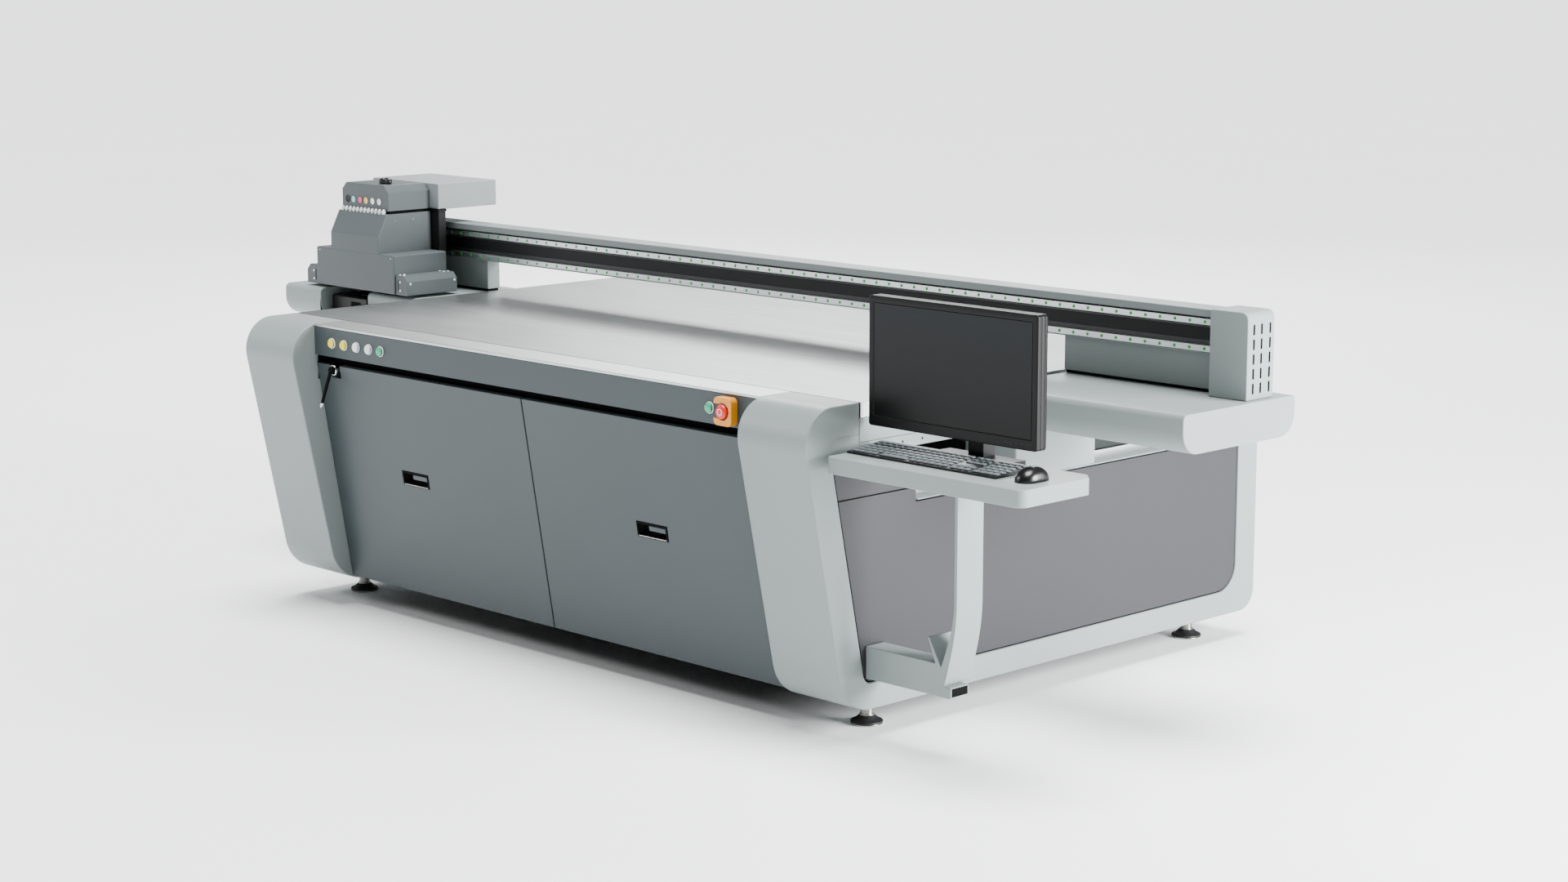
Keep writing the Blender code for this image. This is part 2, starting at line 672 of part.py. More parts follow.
def build_door(name, index, machine, paints):
    """A lift-off front panel of folded sheet, with the flush handle in its cut-out."""
    inside = PILLAR_INSIDE - DOOR_SIDE_GAP
    low, high = (-inside, -DOOR_SPLIT / 2) if index == 0 else (DOOR_SPLIT / 2, inside)
    body = empty(f"{name}_panel_body", ((low + high) / 2, DOOR_RECESS, DOOR_TOP), machine)
    outline = [
        (door_front(DOOR_TOP), DOOR_TOP),
        (door_front(DOOR_LOW), DOOR_LOW),
        (door_front(DOOR_LOW) + DOOR_THICKNESS, DOOR_LOW),
        (door_front(DOOR_TOP - SHEET) + DOOR_THICKNESS, DOOR_TOP - SHEET),
        (BACKING_Y - GAP, DOOR_TOP - SHEET),
        (BACKING_Y - GAP, DOOR_TOP),
    ]
    hollow = [
        (door_front(DOOR_TOP - SHEET) + SHEET, DOOR_TOP - SHEET),
        (door_front(DOOR_LOW + SHEET) + SHEET, DOOR_LOW + SHEET),
        (door_front(DOOR_LOW + SHEET) + 2 * DOOR_THICKNESS, DOOR_LOW + SHEET),
        (door_front(DOOR_TOP - SHEET) + 2 * DOOR_THICKNESS, DOOR_TOP - SHEET),
    ]
    panel = add_object(f"{name}_front_panel", prism(outline, "x", low, high), body, paints["panel"])
    cut(panel, prism(hollow, "x", low + SHEET, high - SHEET))
    if index == 0:
        notch = LEVER_BOSS_RADIUS + NOTCH_PLAY
        cut(panel, box(
            (LEVER_X - notch, DOOR_RECESS - DOOR_THICKNESS, LEVER_Z - notch),
            (LEVER_X + notch, BACKING_Y, DOOR_TOP + SHEET),
        ))

    half_width = HANDLE_WIDTH / 2
    half_height = HANDLE_HEIGHT / 2
    place = (HANDLE_X[index], door_front(HANDLE_Z), HANDLE_Z)
    slot = box((-half_width, -DOOR_THICKNESS, -half_height), (half_width, DOOR_THICKNESS, half_height))
    slot = add_object(f"{name}_front_panel.slot", slot, body, None, place, DOOR_ANGLE)
    cut_with(panel, "Handle slot", slot)

    fit = half_width - GAP
    rise = half_height - GAP
    wall = HANDLE_WALL
    cup = box((-fit, -HANDLE_RIM, -rise), (fit, HANDLE_DEPTH, rise))
    cup = add_object(f"{name}_flush_handle", cup, body, paints["black"], place, DOOR_ANGLE)
    pocket = box((wall - fit, -2 * HANDLE_RIM, wall - rise), (fit - wall, HANDLE_DEPTH - wall, rise - wall))
    pocket = add_object(f"{name}_flush_handle.pocket", pocket, body, None, place, DOOR_ANGLE)
    cut_with(cup, "Pocket", pocket)


def cut_with(target, title, cutter):
    """Cut an object that stands in the scene, and hide it."""
    cutter.hide_render = True
    cutter.display_type = "WIRE"
    boolean = target.modifiers.new(title, "BOOLEAN")
    boolean.operation = "DIFFERENCE"
    boolean.solver = "EXACT"
    boolean.object = cutter


def build_controls(machine, fixed, paints):
    """Five lit buttons, the start button, the stop button in its guard, and the valve lever."""
    colours = ("yellow", "yellow", "white", "white", "green")
    names = [f"{colour}_button_{index + 1}" for index, colour in enumerate(colours)]
    for name, x in zip((*names, "start_button"), (*BUTTON_X, START_X)):
        colour = "green" if x == START_X else name.split("_")[0]
        body = empty(f"{name}_body", (x, FRONT_RECESS, CONTROL_Z), machine)
        profile = [
            (0, BUTTON_STEM),
            (BUTTON_RADIUS - GAP, BUTTON_STEM),
            (BUTTON_RADIUS - GAP, -BUTTON_STROKE - GAP),
            (BEZEL_RADIUS, -BUTTON_STROKE - GAP),
            (BEZEL_RADIUS, -BUTTON_STROKE - BEZEL_PROUD),
            (BUTTON_RADIUS, -BUTTON_PROUD),
            (0, -BUTTON_PROUD),
        ]
        smooth(add_object(name, turned(profile, "y", body["place"]), body, paints[colour]))

    width, height = GUARD_SIZE
    low = (STOP_X - width / 2, FRONT_RECESS - GAP - GUARD_PROUD, CONTROL_Z - height / 2)
    high = (STOP_X + width / 2, FRONT_RECESS - GAP, CONTROL_Z + height / 2)
    guard = add_object("stop_guard", box(low, high), fixed, paints["yellow"])
    well = STOP_RADIUS + PLAY
    bore = [(0, -GUARD_PROUD - PLAY), (well, -GUARD_PROUD - PLAY), (well, PLAY), (0, PLAY)]
    cut(
        guard,
        turned(bore, "y", (STOP_X, FRONT_RECESS, CONTROL_Z)),
        box(
            (low[0] - PLAY, low[1] - PLAY, CONTROL_Z - height / 2 + 2 * GUARD_WALL),
            (STOP_X, high[1] - GUARD_WALL, CONTROL_Z + height / 2 - 2 * GUARD_WALL),
        ),
    )

    body = empty("stop_button_body", (STOP_X, FRONT_RECESS, CONTROL_Z), machine)
    profile = [
        (0, BUTTON_STEM),
        (STOP_STEM_RADIUS - GAP, BUTTON_STEM),
        (STOP_STEM_RADIUS - GAP, -STOP_PROUD * 0.6),
        (STOP_RADIUS, -STOP_PROUD * 0.6),
        (STOP_RADIUS, -STOP_PROUD * 0.85),
        (STOP_RADIUS * 0.75, -STOP_PROUD),
        (0, -STOP_PROUD),
    ]
    smooth(add_object("stop_button", turned(profile, "y", body["place"]), body, paints["red"]))

    hub_y = BACKING_Y - GAP
    depth = hub_y - door_front(LEVER_Z) + LEVER_BOSS_PROUD
    boss = [(0, 0), (LEVER_BOSS_RADIUS, 0), (LEVER_BOSS_RADIUS, -depth), (0, -depth)]
    boss = turned(boss, "y", (LEVER_X, hub_y, LEVER_Z))
    smooth(add_object("lever_boss", boss, fixed, paints["steel"]))
    front = hub_y - depth - GAP
    pivot = (LEVER_X, front, LEVER_Z)
    body = empty("valve_lever_body", pivot, machine)
    hub = [
        (0, 0),
        (LEVER_BOSS_RADIUS * 0.7, 0),
        (LEVER_BOSS_RADIUS * 0.7, -LEVER_THICKNESS),
        (0, -LEVER_THICKNESS),
    ]
    lever = add_object("valve_lever", turned(hub, "y", pivot), body, paints["black"])
    join(lever, prism(lever_outline(front, pivot[2]), "x", LEVER_X - LEVER_WIDTH / 2, LEVER_X + LEVER_WIDTH / 2))


def lever_outline(front, top):
    """Side view of the lever: it leaves the hub downwards and bends out towards its tip."""
    steps = ARC_STEPS
    inner = []
    outer = []
    for step in range(steps + 1):
        share = step / steps
        y = front - GAP - LEVER_REACH * share ** 2
        z = top - LEVER_LENGTH * share
        inner.append((y, z))
        outer.append((y - LEVER_THICKNESS * (1 - 0.3 * share), z))
    return inner + outer[::-1]


def build_feet(body, paints):
    """Four levelling feet: a cone on a disc, a lock nut and a stud."""
    profile = [
        (0, 0),
        (FOOT_RADIUS, 0),
        (FOOT_RADIUS, FOOT_DISC_HEIGHT),
        (FOOT_STUD_RADIUS + FOOT_CONE[0], FOOT_CONE[1]),
        (FOOT_STUD_RADIUS, FOOT_STUD_START),
        (FOOT_STUD_RADIUS, GROUND_CLEARANCE - FOOT_NUT_HEIGHT),
        (FOOT_NUT_RADIUS, GROUND_CLEARANCE - FOOT_NUT_HEIGHT),
        (FOOT_NUT_RADIUS, GROUND_CLEARANCE - GAP),
        (0, GROUND_CLEARANCE - GAP),
    ]
    for name, sign in sides():
        for end, y in (("front", FOOT_FRONT), ("rear", BODY_DEPTH - FOOT_REAR_INSET)):
            centre = (sign * (HALF_BODY - FOOT_SIDE_INSET), y, 0)
            foot = add_object(f"{end}_{name}_foot", turned(profile, "z", centre), body, paints["black"], centre)
            smooth(foot)


def post_outline():
    """Front view of the shelf's post: a flat bar that curves in at its foot and turns up into a short prong."""
    out = HALF_BODY + POST_REACH
    top = SHELF_TOP - SHEET - GAP
    foot = ARM_Z + POST_FOOT_RISE
    arm_end = HALF_BODY + ARM_REACH
    sweep = out - (arm_end + POST_FOOT_REACH)
    steps = ARC_STEPS
    outer = []
    inner = []
    for step in range(steps + 1):
        share = step / steps
        inwards = 1 - math.cos(share * math.pi / 2)
        outer.append((out - sweep * inwards, foot + POST_BEND * (1 - share)))
    vertex = (arm_end, foot + POST_VERTEX_RISE)
    for step in range(steps + 1):
        share = step / steps
        inwards = 1 - math.cos(share * math.pi / 2)
        x = out - POST_THICKNESS - (out - POST_THICKNESS - vertex[0]) * inwards
        inner.append((x, vertex[1] + (foot + POST_BEND - vertex[1]) * (1 - share)))
    prong = HALF_BODY + PRONG_REACH
    return (
        [(out - POST_THICKNESS, top), (out, top)]
        + outer
        + [(arm_end + PRONG_STEP, foot), (prong, foot + PRONG_HEIGHT), (prong + PRONG_TIP, foot + PRONG_HEIGHT)]
        + inner[::-1]
    )


def build_shelf(fixed, paints):
    """The arm out of the side panel, the post on it and the shelf, which is a folded tray turned over."""
    arm_start = HALF_BODY - SHEET - SIDE_PANEL_SHEET - GAP - FOOT_RADIUS
    arm_end = HALF_BODY + ARM_REACH + ARM_LIP
    low = (arm_start, ARM_Y, ARM_Z)
    high = (arm_end, ARM_Y + ARM_SIZE[0], ARM_Z + ARM_SIZE[1])
    arm = add_object("shelf_arm", box(low, high), fixed, paints["cover"])
    cut(
        arm,
        box(
            (low[0] - PLAY, low[1] + ARM_WALL, low[2] + ARM_WALL),
            (high[0] + PLAY, high[1] - ARM_WALL, high[2] - ARM_WALL),
        ),
        prism(arm_trim_outline(), "y", low[1] - PLAY, high[1] + PLAY),
    )
    post = prism(post_outline(), "y", ARM_Y - POST_SETBACK, ARM_Y - POST_SETBACK + POST_WIDTH)
    add_object("shelf_post", post, fixed, paints["cover"])

    x = SHELF_X
    end = SHELF_X + SHELF_LENGTH
    rear = SHELF_Y + SHELF_DEPTH
    inset = SHELF_RADIUS
    outline = rounded([
        (x, SHELF_Y, inset / 2),
        (end, SHELF_Y, inset),
        (end, rear - inset),
        (end - inset, rear),
        (x, rear),
    ])
    shelf = prism(outline, "z", SHELF_TOP - SHELF_THICKNESS, SHELF_TOP)
    shelf = add_object("operator_shelf", shelf, fixed, paints["cover"])
    hollow = rounded([
        (x + SHEET, SHELF_Y + SHEET, inset / 2 - SHEET),
        (end - SHEET, SHELF_Y + SHEET, inset - SHEET),
        (end - SHEET, rear - inset),
        (end - inset, rear - SHEET),
        (x + SHEET, rear - SHEET),
    ])
    cut(shelf, prism(hollow, "z", SHELF_TOP - SHELF_THICKNESS - SHEET, SHELF_TOP - SHEET))


def arm_trim_outline():
    """What is cut off the arm's end for the foot of the post, seen from the front."""
    foot = ARM_Z + POST_FOOT_RISE - GAP
    arm_end = HALF_BODY + ARM_REACH
    slope = (PRONG_REACH - ARM_REACH - PRONG_STEP) / PRONG_HEIGHT
    high = ARM_Z + ARM_SIZE[1] + PLAY
    lean = arm_end + PRONG_STEP + slope * (high - foot)
    return [
        (arm_end + PRONG_STEP - GAP, foot),
        (arm_end + ARM_LIP + PLAY, foot),
        (arm_end + ARM_LIP + PLAY, high),
        (lean - GAP, high),
    ]


def build_desk(machine, fixed, paints):
    """Monitor on its stand with a tilt pivot, keyboard and mouse."""
    base_y = PIVOT_Y + PIVOT_RADIUS
    foot = box(
        (NECK_X - STAND_BASE[0] / 2, base_y + NECK_DEPTH - STAND_BASE[1], SHELF_TOP + GAP),
        (NECK_X + STAND_BASE[0] / 2, base_y + NECK_DEPTH, SHELF_TOP + GAP + STAND_BASE[2]),
    )
    stand = add_object("monitor_stand", foot, fixed, paints["black"])
    half = NECK_WIDTH / 2
    lug = PIVOT_RADIUS - GAP
    profile = [(0, -half), (lug, -half), (lug, half), (0, half)]
    join(
        stand,
        box(
            (NECK_X - half, base_y, SHELF_TOP + STAND_BASE[2] / 2),
            (NECK_X + half, base_y + NECK_DEPTH, PIVOT_Z + PIVOT_RADIUS),
        ),
        box(
            (NECK_X - half, PIVOT_Y, PIVOT_Z - PIVOT_RADIUS / 2),
            (NECK_X + half, base_y + NECK_DEPTH / 2, PIVOT_Z + PIVOT_RADIUS / 2),
        ),
        turned(profile, "x", (NECK_X, PIVOT_Y, PIVOT_Z)),
    )

    body = empty("monitor_body", (SCREEN_X + SCREEN_WIDTH / 2, PIVOT_Y, PIVOT_Z), machine)
    low_z = SHELF_TOP + SCREEN_LIFT
    end_x = SCREEN_X + SCREEN_WIDTH
    outline = rounded([
        (SCREEN_X, low_z, SCREEN_RADIUS),
        (end_x, low_z, SCREEN_RADIUS),
        (end_x, low_z + SCREEN_HEIGHT, SCREEN_RADIUS),
        (SCREEN_X, low_z + SCREEN_HEIGHT, SCREEN_RADIUS),
    ], 4)
    case = prism(outline, "y", SCREEN_Y, SCREEN_Y + SCREEN_THICKNESS)
    case = add_object("monitor_housing", case, body, paints["black"])
    left = SCREEN_X + SCREEN_BEZEL
    right = end_x - SCREEN_BEZEL
    bottom = low_z + SCREEN_CHIN
    top = low_z + SCREEN_HEIGHT - SCREEN_BEZEL
    cut(case, box((left, SCREEN_Y - PLAY, bottom), (right, SCREEN_Y + GLASS_POCKET, top)))
    glass = box(
        (left + GAP, SCREEN_Y + GAP, bottom + GAP),
        (right - GAP, SCREEN_Y + GAP + GLASS_THICKNESS, top - GAP),
    )
    add_object("monitor_screen", glass, body, paints["glass"])

    rest = SHELF_TOP + GAP
    rear = KEYBOARD_Y + KEYBOARD_SIZE[1]
    outline = [
        (KEYBOARD_Y, rest),
        (KEYBOARD_Y, rest + KEYBOARD_FRONT),
        (rear, rest + KEYBOARD_REAR),
        (rear, rest),
    ]
    keyboard = prism(outline, "x", KEYBOARD_X, KEYBOARD_X + KEYBOARD_SIZE[0])
    add_object("keyboard", keyboard, fixed, paints["black"])
    build_mouse(machine, rest, paints)


def build_mouse(machine, rest, paints):
    """The upper half of an ellipsoid with a flat sole."""
    place = (HALF_BODY + MOUSE_CENTRE[0], MOUSE_CENTRE[1], rest)
    body = empty("mouse_body", place, machine)
    shape = bmesh.new()
    bmesh.ops.create_uvsphere(shape, u_segments=20, v_segments=12, radius=1.0)
    size = Vector(MOUSE_SIZE)
    bmesh.ops.scale(shape, vec=(size.x / 2, size.y / 2, size.z / 1.2), verts=shape.verts)
    bmesh.ops.translate(shape, vec=(0, 0, size.z / 6), verts=shape.verts)
    geometry = list(shape.verts) + list(shape.edges) + list(shape.faces)
    flat = bmesh.ops.bisect_plane(
        shape, geom=geometry, plane_co=(0, 0, 0), plane_no=(0, 0, -1), clear_outer=True
    )
    sole = [edge for edge in flat["geom_cut"] if isinstance(edge, bmesh.types.BMEdge)]
    bmesh.ops.contextual_create(shape, geom=sole)
    bmesh.ops.translate(shape, vec=place, verts=shape.verts)
    smooth(add_object("mouse", shape, body, paints["black"]))


def housing_outline(inset=0.0):
    """Side view of a gantry housing; a hollow of it is inset by a sheet and runs out below."""
    front = GANTRY_Y + inset
    rear = GANTRY_Y + HOUSING_DEPTH - inset
    top = HOUSING_TOP - inset
    small = max(HOUSING_TOP_RADIUS - inset, SHEET)
    low = HOUSING_BOTTOM + inset
    large = HOUSING_BOTTOM_RADIUS - inset
    return rounded([
        (front, top, small),
        (front, low, large),
        (rear, low, large),
        (rear, top),
    ])


def build_gantry_end(name, sign, gantry, paints):
    """A side housing, its end cap, the panel under the beam and the leg on the side rail."""
    low, high = span(sign, HOUSING_INNER, HOUSING_OUTER)
    housing = prism(housing_outline(), "x", low, high)
    housing = add_object(f"{name}_gantry_housing", housing, gantry, paints["cover"])
    below = box(
        (low + SHEET, GANTRY_Y + HOUSING_BOTTOM_RADIUS, HOUSING_BOTTOM - SHEET),
        (high - SHEET, GANTRY_Y + HOUSING_DEPTH - HOUSING_BOTTOM_RADIUS, HOUSING_BOTTOM + 2 * SHEET),
    )
    hollows = [prism(housing_outline(SHEET), "x", low + SHEET, high - SHEET), below]
    if sign < 0:
        hollows = left_housing_hollows(low, high)
    cut(housing, *hollows)

    low, high = span(sign, CAP_INNER, CAP_OUTER)
    top = HOUSING_TOP + GAP + CAP_HEIGHT
    outer = HOUSING_TOP + GAP
    outline = rounded([
        (sign * CAP_INNER, outer),
        (sign * CAP_INNER, top),
        (sign * CAP_OUTER, top, CAP_RADIUS),
        (sign * CAP_OUTER, outer),
    ])
    cap = prism(outline, "y", CAP_Y, CAP_Y + CAP_DEPTH)
    cap = add_object(f"{name}_end_cap", cap, gantry, paints["cover"])
    hollow = rounded([
        (sign * (CAP_INNER + SHEET), outer - SHEET),
        (sign * (CAP_INNER + SHEET), top - SHEET),
        (sign * (CAP_OUTER - SHEET), top - SHEET, CAP_RADIUS - SHEET),
        (sign * (CAP_OUTER - SHEET), outer - SHEET),
    ])
    cut(cap, prism(hollow, "y", CAP_Y + SHEET, CAP_Y + CAP_DEPTH - SHEET))

    low, high = span(sign, HOUSING_INNER, CAP_INNER - GAP)
    front = GANTRY_Y + SUPPORT_SETBACK
    rear = front + SUPPORT_DEPTH
    bottom = HOUSING_TOP + GAP
    outline = [
        (front, bottom + SUPPORT_SHADOW),
        (front, BEAM_Z - GAP),
        (rear, BEAM_Z - GAP),
        (rear, bottom),
        (front + SUPPORT_SHADOW, bottom),
        (front + SUPPORT_SHADOW, bottom + SUPPORT_SHADOW),
    ]
    add_object(f"{name}_beam_support", prism(outline, "x", low, high), gantry, paints["cover"])

    inner = HALF_BODY - LEG_SIZE[0]
    leg_top = SKIRT_BOTTOM - SLOT_CLEARANCE
    leg_y = GANTRY_Y + LEG_SETBACK
    shoulder = HALF_BODY + GAP
    head = HOUSING_BOTTOM - GAP
    outline = [
        (sign * inner, RAIL_TOP + GAP),
        (sign * shoulder, RAIL_TOP + GAP),
        (sign * shoulder, head - LEG_HEAD),
        (sign * (shoulder + LEG_OUT), head - LEG_HEAD),
        (sign * (shoulder + LEG_OUT), head),
        (sign * (shoulder + SLOT_CLEARANCE), head),
        (sign * (shoulder + SLOT_CLEARANCE), leg_top),
        (sign * inner, leg_top),
    ]
    add_object(f"{name}_gantry_leg", prism(outline, "y", leg_y, leg_y + LEG_SIZE[1]), gantry, paints["cover"])


def left_housing_hollows(low, high):
    """What is cut from the left housing: the recess of the capping station, the set-back nose and the hollow."""
    first = low + RECESS_FROM
    last = first + RECESS_WIDTH
    past = SHEET * 4
    recess = box(
        (first, GANTRY_Y - past, HOUSING_BOTTOM + RECESS_FLOOR),
        (last, GANTRY_Y + RECESS_DEPTH, HOUSING_TOP + past),
    )
    nose = box(
        (last - past, GANTRY_Y - past, HOUSING_BOTTOM - past),
        (high + past, GANTRY_Y + NOSE_SETBACK, HOUSING_TOP + past),
    )
    floor = HOUSING_BOTTOM - past
    ceiling = HOUSING_TOP - SHEET
    front = GANTRY_Y + NOSE_SETBACK + SHEET
    rear = GANTRY_Y + HOUSING_DEPTH - HOUSING_BOTTOM_RADIUS
    outer_room = box((low + SHEET, front, floor), (first - SHEET, rear, ceiling))
    inner_room = box((last + SHEET, front, floor), (high - SHEET, rear, ceiling))
    middle_room = box(
        (first - 2 * SHEET, GANTRY_Y + RECESS_DEPTH + SHEET, floor),
        (last + 2 * SHEET, rear, ceiling),
    )
    return recess, nose, outer_room, inner_room, middle_room


def build_gantry(gantry, machine, paints):
    """The beam with its two guides, the magnet track between them, both ends and the capping station."""
    rear = BEAM_Y + BEAM_DEPTH
    track_low = UPPER_GUIDE_Z - (UPPER_GUIDE_Z - LOWER_GUIDE_Z - GUIDE_HEIGHT) / 2 - TRACK_HEIGHT / 2
    outline = [
        (BEAM_Y, BEAM_Z + BEAM_FOOT),
        (BEAM_Y, track_low),
        (BEAM_Y + TRACK_GROOVE, track_low),
        (BEAM_Y + TRACK_GROOVE, track_low + TRACK_HEIGHT),
        (BEAM_Y, track_low + TRACK_HEIGHT),
        (BEAM_Y, BEAM_TOP - FASCIA_HEIGHT),
        (BEAM_Y - FASCIA_PROUD, BEAM_TOP - FASCIA_HEIGHT),
        (BEAM_Y - FASCIA_PROUD, BEAM_TOP),
        (rear, BEAM_TOP),
        (rear, BEAM_Z),
        (BEAM_Y - FASCIA_PROUD / 2, BEAM_Z),
        (BEAM_Y - FASCIA_PROUD / 2, BEAM_Z + BEAM_FOOT),
    ]
    beam = prism(outline, "x", -BEAM_HALF, BEAM_HALF)
    beam = add_object("gantry_beam", beam, gantry, paints["cover"])
    wall = CHANNEL_WALL
    cut(beam, box(
        (-BEAM_HALF - wall, BEAM_Y + TRACK_GROOVE + wall, BEAM_Z + wall),
        (BEAM_HALF + wall, rear - wall, BEAM_TOP - wall),
    ))
    for name, z in (("lower", LOWER_GUIDE_Z), ("upper", UPPER_GUIDE_Z)):
        guide = box((-BEAM_HALF, GUIDE_FRONT, z), (BEAM_HALF, BEAM_Y - GAP, z + GUIDE_HEIGHT))
        add_object(f"{name}_guide_rail", guide, gantry, paints["steel"])
    for name, sign in sides():
        build_gantry_end(name, sign, gantry, paints)

    first = -HOUSING_OUTER + RECESS_FROM + CAPPING_MARGIN
    last = first + RECESS_WIDTH - 2 * CAPPING_MARGIN
    floor = HOUSING_BOTTOM + RECESS_FLOOR + GAP
    front = GANTRY_Y + NOSE_SETBACK
    rear = GANTRY_Y + RECESS_DEPTH - CAPPING_MARGIN
    body = empty("capping_body", ((first + last) / 2, (front + rear) / 2, floor), machine)
    capping = box((first, front, floor), (last, rear, floor + CAPPING_HEIGHT))
    capping = add_object("capping_station", capping, body, paints["black"])
    well = CAPPING_MARGIN * 3
    cut(capping, box(
        (first + well, front + well, floor + CAPPING_HEIGHT - well),
        (last - well, rear - well, floor + CAPPING_HEIGHT + PLAY),
    ))


def build_carriage(machine, paints):
    """The carriage plate on the guides, and the lifting head with covers, lamps, ink box and knob."""
    half = REAR_BOX_SIZE[0] / 2
    centre = CARRIAGE_X - PLATE_SHIFT
    carriage = empty("carriage_body", (centre, PLATE_Y, BEAM_Z), machine)
    low_z = TABLE_HEIGHT + PLATE_FROM_TABLE
    plate = box((centre - half, PLATE_Y, low_z), (centre + half, PLATE_Y + PLATE_THICKNESS, low_z + PLATE_HEIGHT))
    plate = add_object("carriage_plate", plate, carriage, paints["black"])
    runners = []
    for z in (LOWER_GUIDE_Z, UPPER_GUIDE_Z):
        runners.append(box(
            (centre - RUNNER_LENGTH / 2, PLATE_Y + PLATE_THICKNESS / 2, z),
            (centre + RUNNER_LENGTH / 2, GUIDE_FRONT - GAP, z + GUIDE_HEIGHT),
        ))
    join(plate, *runners)

    head = empty("print_head_body", (CARRIAGE_X, HEAD_Y, HEAD_Z), machine)
    lower_half = LOWER_COVER[0] / 2
    lower_x = CARRIAGE_X + LOWER_SHIFT
    upper_half = UPPER_COVER[0] / 2
    upper = [
        (HEAD_Y, HEAD_Z),
        (HEAD_Y, HEAD_Z + UPPER_SLOPE_START),
        (HEAD_Y + UPPER_SLOPE_BACK, HEAD_Z + UPPER_COVER[2]),
        (HEAD_Y + UPPER_COVER[1], HEAD_Z + UPPER_COVER[2]),
        (HEAD_Y + UPPER_COVER[1], HEAD_Z),
    ]
    cover = add_object(
        "head_cover",
        prism(upper, "x", UPPER_X - upper_half, UPPER_X + upper_half),
        head,
        paints["carriage"],
    )
    join(cover, box(
        (lower_x - lower_half, HEAD_Y, HEAD_Z),
        (lower_x + lower_half, HEAD_Y + LOWER_COVER[1], HEAD_Z + LOWER_COVER[2]),
    ))
    hollow = [
        (HEAD_Y + SHEET, HEAD_Z - SHEET),
        (HEAD_Y + SHEET, HEAD_Z + UPPER_SLOPE_START),
        (HEAD_Y + SHEET + UPPER_SLOPE_BACK, HEAD_Z + UPPER_COVER[2] - SHEET),
        (HEAD_Y + UPPER_COVER[1] - SHEET, HEAD_Z + UPPER_COVER[2] - SHEET),
        (HEAD_Y + UPPER_COVER[1] - SHEET, HEAD_Z - SHEET),
    ]
    cut(
        cover,
        prism(hollow, "x", UPPER_X - upper_half + SHEET, UPPER_X + upper_half - SHEET),
        box(
            (lower_x - lower_half + SHEET, HEAD_Y + SHEET, HEAD_Z - SHEET),
            (lower_x + lower_half - SHEET, HEAD_Y + LOWER_COVER[1] - SHEET, HEAD_Z + LOWER_COVER[2] - SHEET),
        ),
    )
    heads_half = PRINT_HEADS[0] / 2
    heads_rear = HEAD_Y + UPPER_COVER[1] - SHEET - GAP
    heads = box(
        (UPPER_X - heads_half, heads_rear - PRINT_HEADS[1], HEAD_Z + SHEET),
        (UPPER_X + heads_half, heads_rear, HEAD_Z + SHEET + PRINT_HEADS[2]),
    )
    add_object("print_heads", heads, head, paints["black"])

    for name, sign in sides():
        inner = lower_x + sign * (lower_half + GAP)
        outer = inner + sign * LAMP_WIDTH
        top = HEAD_Z + LAMP_HEIGHT
        outline = [
            (inner, HEAD_Z),
            (outer, HEAD_Z),
            (outer, top - LAMP_CHAMFER),
            (outer - sign * LAMP_CHAMFER, top),
            (inner, top),
        ]
        first = HEAD_Y + LAMP_FRONT
        lamp = prism(outline, "y", first, first + LAMP_DEPTH)
        add_object(f"{name}_curing_lamp", lamp, head, paints["carriage"])

    ink_half = INK_BOX_SIZE[0] / 2
    ink_y = HEAD_Y + INK_BOX_SETBACK
    ink_top = INK_BOX_Z + INK_BOX_SIZE[2]
    ink_rear = ink_y + INK_BOX_SIZE[1]
    outline = [
        (ink_y, INK_BOX_Z),
        (ink_y, ink_top - INK_BOX_CHAMFER),
        (ink_y + INK_BOX_CHAMFER, ink_top),
        (ink_rear, ink_top),
        (ink_rear, INK_BOX_Z),
    ]
    ink_box = prism(outline, "x", UPPER_X - ink_half, UPPER_X + ink_half)
    ink_box = add_object("ink_box", ink_box, head, paints["carriage"])
    join(ink_box, box(
        (UPPER_X - ink_half + PLINTH_INSET, ink_y + PLINTH_INSET, INK_BOX_Z - PLINTH_HEIGHT),
        (UPPER_X + ink_half - PLINTH_INSET, ink_rear, INK_BOX_Z + SHEET),
    ))
    cut(ink_box, box(
        (UPPER_X - ink_half + PLINTH_INSET + SHEET, ink_y + INK_BOX_CHAMFER, INK_BOX_Z - 2 * PLINTH_HEIGHT),
        (UPPER_X + ink_half - PLINTH_INSET - SHEET, ink_rear - SHEET, ink_top - SHEET),
    ))

    first = ink_rear + GAP
    top = ink_top - GAP
    low_z = top - REAR_BOX_SIZE[2]
    outline = [
        (first, low_z),
        (first, top),
        (first + REAR_BOX_SIZE[1] - REAR_BOX_CHAMFER, top),
        (first + REAR_BOX_SIZE[1], top - REAR_BOX_CHAMFER),
        (first + REAR_BOX_SIZE[1], low_z),
    ]
    rear_box = prism(outline, "x", centre - half, centre + half)
    rear_box = add_object("rear_box", rear_box, head, paints["carriage"])
    cut(rear_box, box(
        (centre - half + SHEET, first + SHEET, low_z - SHEET),
        (centre + half - SHEET, first + REAR_BOX_SIZE[1] - REAR_BOX_CHAMFER - SHEET, top - SHEET),
    ))

